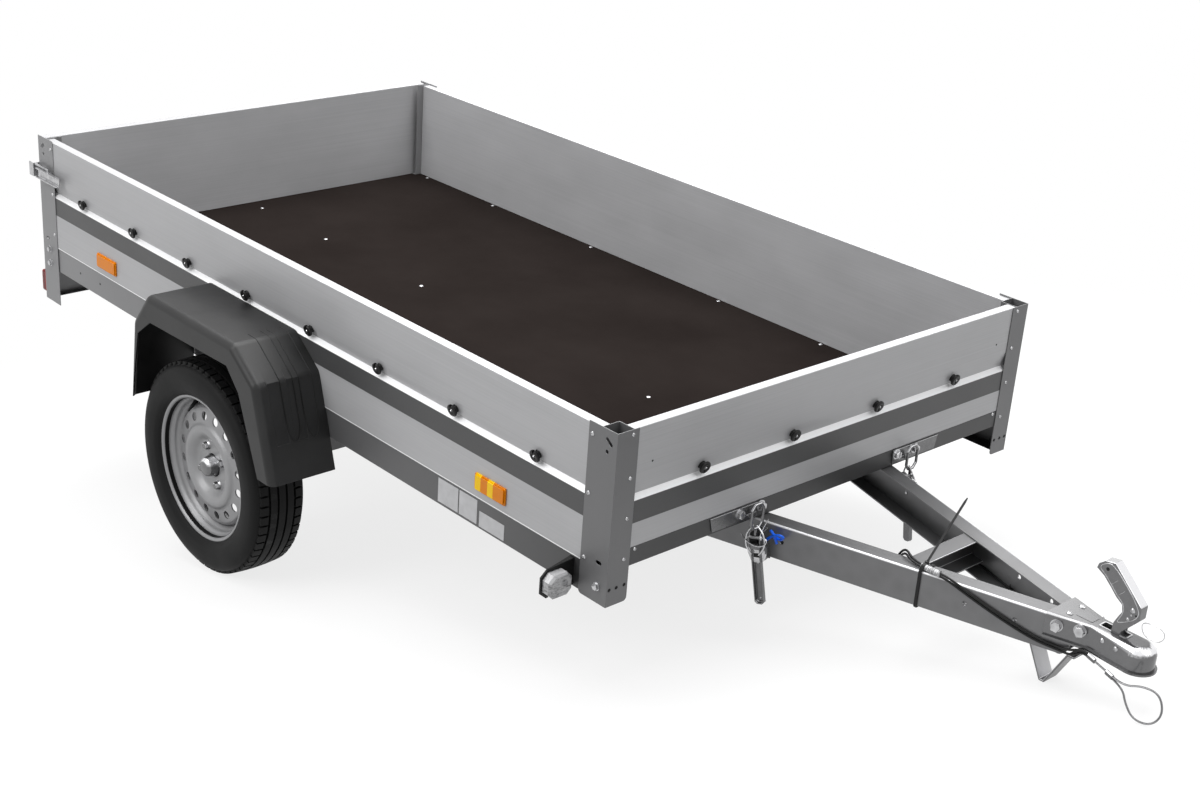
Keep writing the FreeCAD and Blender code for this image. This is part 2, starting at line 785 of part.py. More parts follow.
def marker_lamps():
    arm = new_body("marker_lamp_arm_one")
    back = "Dims.marker_lamp_face_x - Dims.marker_lamp_depth"
    wing = outline(arm, "YZ_Plane", [
        ("-((Dims.half_width + Dims.marker_lamp_reach) + Dims.marker_lamp_width / 2 + 4)", "Dims.marker_lamp_z - 18"),
        ("-((Dims.half_width + Dims.marker_lamp_reach) + Dims.marker_lamp_width / 2 + 4)", "Dims.marker_lamp_z + 18"),
        ("-((Dims.half_width + Dims.marker_lamp_reach) + Dims.marker_lamp_width / 2 - 12)", "Dims.marker_lamp_z + 32"),
        (FRAME_FACE, "Dims.marker_lamp_z + 38"),
        (FRAME_FACE, "Dims.marker_lamp_z - 22"),
        ("-((Dims.half_width + Dims.marker_lamp_reach) + Dims.marker_lamp_width / 2 - 12)", "Dims.marker_lamp_z - 32"),
    ], offset=back)
    pad(arm, wing, "Dims.marker_arm_thickness", reverse=True)
    root = outline(arm, "XZ_Plane", [
        (back, "Dims.marker_lamp_z - 22"),
        (back, "Dims.marker_lamp_z + 38"),
        (back + " - 12", "Dims.marker_lamp_z + 38"),
        (back + " - Dims.marker_arm_length", "Dims.marker_lamp_z - 22"),
    ], offset="-(%s)" % FRAME_FACE)
    pad(arm, root, "Dims.marker_arm_thickness")
    both_sides(arm, name="marker_lamp_arms")

    lamp = new_body("marker_lamp_one")
    across = "Dims.marker_lamp_width / 2"
    up = "Dims.marker_lamp_height / 2"
    cut = "Dims.marker_lamp_corner"
    points = []
    for side, level in ((-1, -1), (1, -1), (1, 1), (-1, 1)):
        square = ("-(Dims.half_width + Dims.marker_lamp_reach) + %d * (%s)" % (side, across),
                  "Dims.marker_lamp_z + %d * (%s - %s)" % (level, up, cut))
        flat = ("-(Dims.half_width + Dims.marker_lamp_reach) + %d * (%s - %s)" % (side, across, cut),
                "Dims.marker_lamp_z + %d * (%s)" % (level, up))
        points.extend([square, flat] if side * level < 0 else [flat, square])
    face = outline(lamp, "YZ_Plane", points, offset="Dims.marker_lamp_face_x")
    pad(lamp, face, "Dims.marker_lamp_depth", reverse=True)
    both_sides(lamp, name="marker_lamps")


def rear_lamps():
    body = new_body("rear_lamp_one")
    out_y = "-(Dims.half_width - Dims.rear_lamp_inset)"
    sketch = outline(body, "YZ_Plane", [
        (out_y, "Dims.rear_lamp_foot"),
        (out_y + " + Dims.rear_lamp_length", "Dims.rear_lamp_foot"),
        (out_y + " + Dims.rear_lamp_length", "Dims.rear_lamp_foot + Dims.rear_lamp_height"),
        (out_y, "Dims.rear_lamp_foot + Dims.rear_lamp_height"),
    ], offset="-Dims.box_length + Dims.lamp_board_inset")
    pad(body, sketch, "Dims.rear_lamp_depth + Dims.lamp_board_inset", reverse=True)
    both_sides(body, name="rear_lamps")


# The mudguard's side outline, from its rear foot over the top to its front foot, and the
# mouth in its outer wall, as distances ahead of the wheel's axis and above it
MUDGUARD_OUTLINE = [(-284, 95), (-259, 304), (-192, 389), (186, 389), (281, 320), (349, 97)]
MUDGUARD_MOUTH = [(-278, 75), (-235, 277), (-175, 323), (166, 332), (215, 282), (262, 169), (300, 75)]


def around_wheel(points):
    return [("Dims.wheel_x + %g" % across, "Dims.wheel_z + %g" % height) for across, height in points]


def inset_outline(points, depth):
    """An open outline moved towards the wheel by a depth, with its corners mitred."""
    moved = []
    for index, (across, height) in enumerate(points):
        normals = []
        for first, last in ((index - 1, index), (index, index + 1)):
            if first >= 0 and last < len(points):
                run = Vector(points[last][0] - points[first][0], points[last][1] - points[first][1], 0)
                run.normalize()
                normals.append(Vector(run.y, -run.x, 0))
        middle = normals[0] + normals[-1]
        middle.normalize()
        reach = depth / middle.dot(normals[0])
        moved.append((across + middle.x * reach, height + middle.y * reach))
    return moved


def mudguard():
    """A moulded shell, open towards the box and the ground, with a mouth for the wheel."""
    body = new_body("mudguard_right")
    inner_face = "(Dims.half_width - Dims.post_sheet)"
    block = pad(body, outline(body, "XZ_Plane", around_wheel(MUDGUARD_OUTLINE), offset=inner_face),
                "%s - %s" % (GUARD_Y, inner_face))
    doc.recompute()
    foot = size("wheel_z") + MUDGUARD_OUTLINE[-1][1]

    def bend(edge):
        return along_y(edge) and edge.CenterOfMass.z > foot + 20

    bends = fillet(body, block, edges_where(block.Shape, bend), "Dims.mudguard_bend")
    outer = -value_of(GUARD_Y)

    def outer_rim(edge):
        box = edge.BoundBox
        return abs(box.YMin - outer) < 0.01 and abs(box.YMax - outer) < 0.01 and box.ZMax > foot + 5

    rounded = fillet(body, bends, edges_where(bends.Shape, outer_rim), "Dims.mudguard_round")
    inner = -(size("half_width") - size("post_sheet"))

    def opening(face):
        box = face.BoundBox
        return abs(box.YMax - box.YMin) < 0.01 and abs(box.YMax - inner) < 0.01 or box.ZMax < foot + 5

    hollow = body.newObject("PartDesign::Thickness", "mudguard_hollow")
    hollow.Base = (rounded, faces_where(rounded.Shape, opening))
    hollow.setExpression("Value", "Dims.mudguard_wall")
    hollow.Reversed = True
    hollow.Mode = "Skin"
    hollow.Join = "Intersection"
    body.Tip = hollow
    doc.recompute()
    mouth = outline(body, "XZ_Plane", around_wheel(MUDGUARD_MOUTH), offset=GUARD_Y + " - 40")
    pocket(body, mouth, "80", reverse=True)
    front = MUDGUARD_OUTLINE[3:]
    strip = [(front[0][0] + 8, front[0][1] + 0.001)] + front[1:]
    lip = inset_outline(strip, -6)
    bed = inset_outline(strip, size("mudguard_flute_depth"))
    foot_share = 0.62
    for line in (lip, bed):
        last, before = line[-1], line[-2]
        line[-1] = (before[0] + (last[0] - before[0]) * foot_share, before[1] + (last[1] - before[1]) * foot_share)
    for start in (68, 118):
        flute = outline(body, "XZ_Plane", around_wheel(lip + bed[::-1]), offset="%s - %d" % (GUARD_Y, start))
        pocket(body, flute, "Dims.mudguard_flute_width", reverse=True)
    keep(body)
    mirror_twin(body, "mudguard_left")


# Running gear, fixed under the load box
def axle_beam():
    body = new_body("axle_beam")
    centre_x, centre_z = beam_centre()
    half = "Dims.axle_beam_size / 2"
    sketch = outline(body, "XZ_Plane", [
        ("%s - %s" % (centre_x, half), "%s - %s" % (centre_z, half)),
        ("%s + %s" % (centre_x, half), "%s - %s" % (centre_z, half)),
        ("%s + %s" % (centre_x, half), "%s + %s" % (centre_z, half)),
        ("%s - %s" % (centre_x, half), "%s + %s" % (centre_z, half)),
    ], offset="-" + BEAM_END)
    pad(body, sketch, "2 * " + BEAM_END)
    keep(body)


def beam_centre():
    """The axle beam's middle, which lies ahead of the wheel and above it by the arm's droop."""
    return ("(Dims.wheel_x + Dims.swing_arm_length * cos(Dims.swing_arm_droop * 1deg))",
            "(Dims.wheel_z + Dims.swing_arm_length * sin(Dims.swing_arm_droop * 1deg))")


def axle_brackets():
    """Pressed seats that hang the beam under the side frames, and the drawbar's pivot plates."""
    body = new_body("axle_bracket_one")
    centre_x, centre_z = beam_centre()
    beam_top = "%s + Dims.axle_beam_size / 2" % centre_z
    web = FRAME_FACE + " + Dims.frame_flange"
    thick = "4"
    seat = outline(body, "YZ_Plane", [
        (FRAME_FACE, "Dims.frame_foot"),
        (web + " + " + thick, "Dims.frame_foot"),
        (web + " + " + thick, beam_top + " + " + thick),
        (web + " + 20", beam_top + " + " + thick),
        (web + " + 20", beam_top),
        (web, beam_top),
        (web, "Dims.frame_foot - " + thick),
        (FRAME_FACE, "Dims.frame_foot - " + thick),
    ], offset=centre_x + " + 60")
    pad(body, seat, "120", reverse=True)
    both_sides(body, name="axle_brackets")

    plates = new_body("pivot_plates_one")
    gap = "(Dims.pivot_bush_length / 2 + Dims.side_gap)"
    for side in ("-(%s + %s + Dims.pivot_plate)" % (PIVOT_Y, gap), "-(%s - %s)" % (PIVOT_Y, gap)):
        plate = outline(plates, "XZ_Plane", [
            ("%s - Dims.axle_beam_size / 2" % centre_x, beam_top),
            ("%s + Dims.axle_beam_size / 4" % centre_x, beam_top),
            ("Dims.pivot_x + 22", "Dims.pivot_z + 10"),
            ("Dims.pivot_x + 10", "Dims.pivot_z + 22"),
            ("Dims.pivot_x - 10", "Dims.pivot_z + 22"),
            ("Dims.pivot_x - 22", "Dims.pivot_z + 10"),
        ], offset="-(%s)" % side)
        pad(plates, plate, "Dims.pivot_plate", reverse=True)
    hole = circles(plates, "XZ_Plane", [
        ("Dims.pivot_x", "Dims.pivot_z", "Dims.pivot_pin_radius + Dims.pivot_clearance")],
        offset="%s - %s - 20" % (PIVOT_Y, gap))
    pocket(plates, hole, "2 * %s + 40" % gap, reverse=True)
    both_sides(plates, name="pivot_plates")


def swing_arm():
    """A trailing arm with the stub that carries the hub."""
    body = new_body("swing_arm_right")
    centre_x, centre_z = beam_centre()
    inner = BEAM_END
    ends = circles(body, "XZ_Plane", [(centre_x, centre_z, "Dims.swing_arm_radius")], offset=inner)
    pad(body, ends, "Dims.swing_arm_thickness")
    ends = circles(body, "XZ_Plane", [("Dims.wheel_x", "Dims.wheel_z", "Dims.swing_arm_radius")], offset=inner)
    pad(body, ends, "Dims.swing_arm_thickness")
    across = "Dims.swing_arm_radius * sin(Dims.swing_arm_droop * 1deg)"
    along = "Dims.swing_arm_radius * cos(Dims.swing_arm_droop * 1deg)"
    web = outline(body, "XZ_Plane", [
        ("Dims.wheel_x + " + across, "Dims.wheel_z - " + along),
        (centre_x + " + " + across, centre_z + " - " + along),
        (centre_x + " - " + across, centre_z + " + " + along),
        ("Dims.wheel_x - " + across, "Dims.wheel_z + " + along),
    ], offset=inner)
    pad(body, web, "Dims.swing_arm_thickness")
    stub = circles(body, "XZ_Plane", [("Dims.wheel_x", "Dims.wheel_z", "Dims.stub_radius")], offset=inner)
    pad(body, stub, "%s + Dims.stub_reach - %s" % (WHEEL_Y, BEAM_END))
    keep(body)
    mirror_twin(body, "swing_arm_left")


# Wheels, turned about the y axis with outboard towards -y
def wheel():
    place = Placement(Vector(size("wheel_x"), -value_of(WHEEL_Y), size("wheel_z")), Rotation())
    half, radius = "Dims.rim_half_width", "Dims.rim_radius"
    rim = new_body("rim_right")
    seat, well, thick = "Dims.rim_seat_radius", "Dims.rim_well_radius", "Dims.rim_sheet"
    bore, face = "Dims.hub_bore_radius", "-Dims.hub_face_offset"
    inside = "%s - %s" % (seat, thick)
    centre, ring = "Dims.disc_centre_radius", "Dims.disc_ring_radius"
    front, back = face, face + " + Dims.disc_sheet"
    section = outline(rim, "XY_Plane", [
        (radius, "-" + half),
        (radius, "-%s + %s" % (half, thick)),
        (seat, "-%s + %s" % (half, thick)),
        (seat, "%s - %s" % (half, thick)),
        (radius, "%s - %s" % (half, thick)),
        (radius, half),
        (inside, half),
        (inside, back),
        (ring, back),
        (centre, back + " + Dims.disc_dish"),
        (bore, back + " + Dims.disc_dish"),
        (bore, front + " + Dims.disc_dish"),
        (centre, front + " + Dims.disc_dish"),
        (ring, front),
        (inside, front),
        (inside, "-" + half),
    ])
    revolve(rim, section, "V_Axis")
    octagon = []
    for index in range(8):
        turn = 45 * index + 22.5
        octagon.append(("Dims.vent_radius * cos(%gdeg)" % turn,
                        "Dims.vent_circle + Dims.vent_radius * sin(%gdeg)" % turn))
    cut = pocket(rim, outline(rim, "XZ_Plane", octagon), "Dims.rim_half_width")
    cut.Reversed = True
    polar(rim, cut, "Y_Axis", "Dims.vent_count")
    keep(rim, place)
    mirror_twin(rim, "rim_left")

    tyre = new_body("tyre_right")
    wide, tread = "Dims.tyre_half_width", "Dims.tyre_radius"
    bead = "%s - %s - Dims.bead_gap" % (half, thick)
    points = [
        (seat + " + Dims.bead_gap", bead),
        (radius + " + 2", bead),
        (tread + " - Dims.tyre_shoulder_height", wide),
        (tread, wide + " - Dims.tyre_shoulder_width"),
    ]
    inboard = [(first, "-(%s)" % second) for first, second in reversed(points)]
    section = outline(tyre, "XY_Plane", points + inboard)
    revolve(tyre, section, "V_Axis")
    keep(tyre, place)
    mirror_twin(tyre, "tyre_left")

    hub = new_body("hub_right")
    stub = "Dims.stub_radius + Dims.stub_clearance"
    rear = "%s - %s - Dims.swing_arm_thickness - Dims.hub_gap" % (WHEEL_Y, BEAM_END)
    seat_face = back + " + Dims.disc_dish"
    section = outline(hub, "XY_Plane", [
        (stub, seat_face),
        (stub, rear),
        ("Dims.hub_drum_radius", rear),
        ("Dims.hub_drum_radius", seat_face + " + Dims.hub_flange"),
        ("Dims.hub_flange_radius", seat_face + " + Dims.hub_flange"),
        ("Dims.hub_flange_radius", seat_face),
    ])
    revolve(hub, section, "V_Axis")
    cap_radius = bore + " - Dims.bead_gap"
    cap = outline(hub, "XY_Plane", [
        ("0", seat_face),
        (cap_radius, seat_face),
        (cap_radius, "%s - Dims.hub_cap_height / 2" % face),
        (cap_radius + " - 8", "%s - Dims.hub_cap_height" % face),
        ("0", "%s - Dims.hub_cap_height" % face),
    ])
    revolve(hub, cap, "V_Axis")
    keep(hub, place)
    mirror_twin(hub, "hub_left")


# Drawbar
def arm_face(x):
    """Where the arm's outer face lies across the trailer, at a place along it."""
    return "-(Dims.arm_front_y - Dims.arm_slope * (%s))" % x


# Places of the holes along an arm's web
ARM_HOLES = [57.6, 447, 547]


def drawbar_arm():
    body = new_body("drawbar_arm_right")
    skew = "sqrt(1 + Dims.arm_slope * Dims.arm_slope)"
    foot = "Dims.arm_top - Dims.arm_height"
    tail, nose = "Dims.arm_tail_x", "Dims.arm_nose_x"
    inside = " + Dims.arm_sheet * " + skew
    web = outline(body, "XY_Plane", [
        (tail, arm_face(tail)),
        (nose, arm_face(nose)),
        (nose, arm_face(nose) + inside),
        (tail, arm_face(tail) + inside),
    ], offset=foot)
    pad(body, web, "Dims.arm_height")
    meet = "((Dims.arm_front_y - Dims.arm_flange * %s - 0.5) / Dims.arm_slope)" % skew
    start = "Dims.arm_flange_tail_x"
    for level in (foot, "Dims.arm_top - Dims.arm_sheet"):
        flange = outline(body, "XY_Plane", [
            (start, arm_face(start)),
            (nose, arm_face(nose)),
            (nose, "-0.5"),
            (meet, "-0.5"),
            (start, arm_face(start) + " + Dims.arm_flange * " + skew),
        ], offset=level)
        pad(body, flange, "Dims.arm_sheet")
    bush = circles(body, "XZ_Plane", [("Dims.pivot_x", "Dims.pivot_z", "Dims.pivot_bush_radius")],
                   offset=PIVOT_Y + " - Dims.pivot_bush_length / 2")
    pad(body, bush, "Dims.pivot_bush_length")
    bore = circles(body, "XZ_Plane", [
        ("Dims.pivot_x", "Dims.pivot_z", "Dims.pivot_pin_radius + Dims.pivot_clearance")],
        offset=PIVOT_Y + " - Dims.pivot_bush_length / 2 - 10")
    pocket(body, bore, "Dims.pivot_bush_length + 20", reverse=True)
    nose_corner = round_corner(nose, foot, -1, 1, "Dims.arm_nose_round")
    pocket(body, outline(body, "XZ_Plane", nose_corner, offset="Dims.arm_front_y"), "Dims.arm_front_y")
    for along in ARM_HOLES:
        hole = octagon(body, "XZ_Plane", "%g" % along, "Dims.arm_top - Dims.arm_height * 0.46",
                       "Dims.arm_hole_radius", offset="-(%s) + 20" % arm_face("%g" % along))
        pocket(body, hole, "40")
    keep(body)
    mirror_twin(body, "drawbar_arm_left")


def hexagon(body, centre_x, centre_z, radius, offset):
    """A closed hexagon on the body's XZ plane."""
    points = []
    for index in range(6):
        points.append(("%s + %s * cos(%ddeg)" % (centre_x, radius, 60 * index),
                       "%s + %s * sin(%ddeg)" % (centre_z, radius, 60 * index)))
    return outline(body, "XZ_Plane", points, offset=offset)


def pivot_pin():
    """A bolt through both plates and the bush, with its nut."""
    body = new_body("pivot_pin_one")
    reach = "(Dims.pivot_bush_length / 2 + Dims.side_gap + Dims.pivot_plate)"
    pin = circles(body, "XZ_Plane", [("Dims.pivot_x", "Dims.pivot_z", "Dims.pivot_pin_radius")],
                  offset="%s - %s" % (PIVOT_Y, reach))
    pad(body, pin, "2 * " + reach)
    for start in ("%s + %s" % (PIVOT_Y, reach), "%s - %s - Dims.pivot_head" % (PIVOT_Y, reach)):
        head = hexagon(body, "Dims.pivot_x", "Dims.pivot_z", "Dims.pivot_head_radius", start)
        pad(body, head, "Dims.pivot_head")
    both_sides(body, name="pivot_pins")


def drawbar_brace():
    body = new_body("drawbar_brace")
    skew = "sqrt(1 + Dims.arm_slope * Dims.arm_slope)"
    front = "Dims.brace_x + Dims.brace_width"
    rear = "Dims.brace_x"
    side_front = arm_face(front) + " + Dims.arm_sheet * " + skew
    side_rear = arm_face(rear) + " + Dims.arm_sheet * " + skew
    top = "Dims.arm_top - Dims.arm_sheet"
    plan = [
        (rear, side_rear),
        (front, side_front),
        (front, "-(%s)" % side_front),
        (rear, "-(%s)" % side_rear),
    ]
    foot = top + " - Dims.brace_height"
    block = outline(body, "XY_Plane", plan, offset=foot)
    pad(body, block, "Dims.brace_height")
    hollow = outline(body, "XZ_Plane", [
        (rear + " + Dims.arm_sheet", foot + " + Dims.arm_sheet"),
        (front + " + 10", foot + " + Dims.arm_sheet"),
        (front + " + 10", top + " - Dims.arm_sheet"),
        (rear + " + Dims.arm_sheet", top + " - Dims.arm_sheet"),
    ], offset="-200")
    pocket(body, hollow, "400", reverse=True)
    keep(body)


def box_buffers():
    body = new_body("box_buffer_one")
    skew = "sqrt(1 + Dims.arm_slope * Dims.arm_slope)"
    front, back = "-(Dims.post_sheet + 3)", "-(Dims.post_sheet + Dims.crossmember_depth - 3)"
    strip = outline(body, "XY_Plane", [
        (front, arm_face(front) + " + 2"),
        (front, arm_face(front) + " + (Dims.arm_flange - 4) * " + skew),
        (back, arm_face(back) + " + (Dims.arm_flange - 4) * " + skew),
        (back, arm_face(back) + " + 2"),
    ], offset="Dims.arm_top")
    pad(body, strip, "Dims.crossmember_foot - Dims.arm_top - Dims.buffer_gap")
    both_sides(body, name="box_buffers")


def stand_foot():
    body = new_body("stand_foot")
    top = "Dims.arm_top - Dims.arm_height"
    strip = "Dims.foot_strip"
    reach = "Dims.foot_reach"
    x, z = "Dims.foot_x", "Dims.foot_z"
    sketch = outline(body, "XZ_Plane", [
        (x + " - Dims.foot_flat", z),
        (x + " + Dims.foot_flat", z),
        (x + " + " + reach, top + " - " + strip),
        (x + " + " + reach + " + 14", top + " - " + strip),
        (x + " + " + reach + " + 14", top),
        (x + " + " + reach + " - 3", top),
        (x + " + 4", z + " + " + strip),
        (x + " - 4", z + " + " + strip),
        (x + " - " + reach + " + 3", top),
        (x + " - " + reach + " - 14", top),
        (x + " - " + reach + " - 14", top + " - " + strip),
        (x + " - " + reach, top + " - " + strip),
    ], offset="-Dims.foot_half_width")
    pad(body, sketch, "2 * Dims.foot_half_width")
    keep(body)


# Ball coupling
def rounded_profile(half, rounding, foot):
    """One side of a pressed section, from its foot up to its flat top, as half width and height."""
    top = "Dims.coupling_top"
    steps = [("%s" % half, foot), ("%s" % half, "%s - %s" % (top, rounding))]
    for turn in (30, 60, 90):
        steps.append(("%s - %s * (1 - cos(%ddeg))" % (half, rounding, turn),
                      "%s - %s * (1 - sin(%ddeg))" % (top, rounding, turn)))
    return steps


def coupling():
    """A pressed cover over the arms' noses, drawn out to the ball cup, with a lip round its foot."""
    body = new_body("coupling_head")
    skew = "sqrt(1 + Dims.arm_slope * Dims.arm_slope)"
    play = " - Dims.coupling_play * " + skew
    wall = " - (Dims.coupling_sheet + Dims.coupling_play) * " + skew
    rear, neck = "Dims.coupling_rear_x", "Dims.coupling_neck_x"
    foot, lip = "Dims.cup_foot", " + Dims.coupling_lip"

    def ahead(x):
        """A place along the trailer, measured from the ball's middle."""
        return "(%s - Dims.ball_x)" % x

    stations = [
        (rear, "-(%s)" % (arm_face(rear) + wall), "Dims.coupling_round"),
        (neck, "-(%s)" % (arm_face(neck) + wall), "Dims.coupling_round"),
        ("Dims.ball_x", "Dims.cup_radius", "Dims.cup_round"),
    ]
    sections = []
    for x, half, rounding in stations:
        side = rounded_profile("(%s)" % half, rounding, foot)
        other = [("-(%s)" % across, height) for across, height in reversed(side)]
        sections.append(outline(body, "YZ_Plane", side + other, offset=ahead(x)))
    cover = body.newObject("PartDesign::AdditiveLoft", "coupling_cover")
    cover.Profile = sections[0]
    cover.Sections = sections[1:]
    cover.Ruled = True
    body.Tip = cover
    dome = rounded_profile("Dims.cup_radius", "Dims.cup_round", foot)
    revolve(body, outline(body, "XZ_Plane", [("0", foot)] + dome + [("0", "Dims.coupling_top")]), "V_Axis")
    plan = [(ahead(x), "-(%s%s)" % (half, lip)) for x, half, _ in stations]
    plan += [(ahead(x), half + lip) for x, half, _ in reversed(stations)]
    pad(body, outline(body, "XY_Plane", plan, offset=foot), "Dims.coupling_lip_thickness")
    brim = circles(body, "XY_Plane", [("0", "0", "Dims.cup_radius" + lip)], offset=foot)
    pad(body, brim, "Dims.coupling_lip_thickness")
    behind = rear + " - 10"
    inner_neck = "-(%s)" % (arm_face(neck) + play)
    inner_rear = "-(%s)" % (arm_face(behind) + play)
    hollow = outline(body, "XY_Plane", [
        (ahead(behind), "-(%s)" % inner_rear),
        (ahead(neck), "-(%s)" % inner_neck),
        ("0", "-(%s)" % inner_neck),
        ("0", inner_neck),
        (ahead(neck), inner_neck),
        (ahead(behind), inner_rear),
    ], offset=foot + " - 5")
    pocket(body, hollow, "Dims.arm_top + Dims.coupling_play - %s + 5" % foot, reverse=True)
    # the side plates end in an ear round the rear bolt, above the lip
    ear = outline(body, "XZ_Plane", [
        (ahead(rear) + " - 10", foot + " - 5"),
        (ahead("Dims.coupling_step_x"), foot + " - 5"),
        (ahead("Dims.coupling_step_x"), foot + " + Dims.coupling_lip_thickness"),
        (ahead("Dims.coupling_ear_x"), "Dims.coupling_ear_foot"),
        (ahead(rear), "Dims.coupling_ear_foot + 14"),
        (ahead(rear) + " - 10", "Dims.coupling_ear_foot + 14"),
    ], offset="-100")
    pocket(body, ear, "200")
    slot = outline(body, "XY_Plane", [
        (ahead("Dims.slot_rear_x"), "-Dims.slot_half_width"),
        (ahead("Dims.slot_front_x"), "-Dims.slot_half_width"),
        (ahead("Dims.slot_front_x"), "Dims.slot_half_width"),
        (ahead("Dims.slot_rear_x"), "Dims.slot_half_width"),
    ], offset="Dims.arm_top - 20")
    pocket(body, slot, "Dims.coupling_top - Dims.arm_top + 40", reverse=True)
    bore = "(Dims.ball_radius + Dims.cup_play)"
    seat = [("0", foot + " - 5"), (bore, foot + " - 5"), (bore, "Dims.ball_z")]
    for turn in (15, 45, 75):
        seat.append(("%s * cos(%ddeg) / cos(15deg)" % (bore, turn),
                     "Dims.ball_z + %s * sin(%ddeg) / cos(15deg)" % (bore, turn)))
    seat.append(("0", "Dims.ball_z + " + bore))
    revolve(body, outline(body, "XZ_Plane", seat), "V_Axis", groove=True)
    keep(body, Placement(Vector(size("ball_x"), 0, 0), Rotation()))


# The handle's side view when shut, from its foot up the front to its tip and back down its grip,
# as distances ahead of the ball's middle and above it
HANDLE_ROOT = [(-44, 20), (-37, 42), (-20, 62), (-6, 78), (-6, 106), (-76, 172), (-98, 168), (-110, 158)]
HANDLE_GRIP = [(-113, 147), (-95, 137), (-75, 119), (-62, 106), (-47, 96), (-44, 82), (-50, 70), (-57, 54), (-60, 20)]


def coupling_handle():
    """A pressed channel with a waved grip, which stands up from the slot in the cover."""
    body = new_body("coupling_handle")

    def from_ball(points):
        return [("Dims.ball_x + %g" % ahead, "Dims.ball_z + %g" % above) for ahead, above in points]

    profile = pad(body, outline(body, "XZ_Plane", from_ball(HANDLE_ROOT + HANDLE_GRIP),
                                offset="-Dims.handle_half_width"), "2 * Dims.handle_half_width")
    doc.recompute()
    level = size("ball_z") + 60

    def front_bend(edge):
        return along_y(edge) and edge.CenterOfMass.z > level and edge.CenterOfMass.x > size("ball_x") - 40

    fillet(body, profile, edges_where(profile.Shape, front_bend), "Dims.handle_round * 2")
    tongue = "Dims.slot_half_width - Dims.slot_play"
    for side in (1, -1):
        edge, out = "%d * (%s)" % (side, tongue), "%d * (Dims.handle_half_width + 5)" % side
        trim = outline(body, "XY_Plane", [
            ("Dims.slot_rear_x", edge),
            ("Dims.slot_front_x + 20", edge),
            ("Dims.slot_front_x + 20", out),
            ("Dims.slot_rear_x", out),
        ], offset="Dims.ball_z")
        pocket(body, trim, "Dims.coupling_top - Dims.ball_z + Dims.slot_play", reverse=True)
    # the channel is open towards the grip, between its two side plates
    back = inset_outline(HANDLE_ROOT[1:-1], size("handle_sheet"))
    inside = back + [(-120, 150), (-140, 100), (-90, 60), (-72, 50)]
    hollow = outline(body, "XZ_Plane", from_ball(inside), offset="-(Dims.handle_half_width - Dims.handle_sheet)")
    pocket(body, hollow, "2 * (Dims.handle_half_width - Dims.handle_sheet)")
    keep(body)


# Latches that hold the box down on the drawbar
def latch_frame():
    """Where a latch sits: its cross pin on the arm's outer face, leaning forward at its foot."""
    turn = math.degrees(math.atan(size("arm_slope")))
    arm = Placement(Vector(0, -size("arm_front_y"), 0), Rotation(Vector(0, 0, 1), turn))
    lean = Rotation(Vector(0, 1, 0), -size("latch_lean"))
    return arm.multiply(Placement(Vector(size("latch_along"), 0, size("latch_pin_z")), lean))


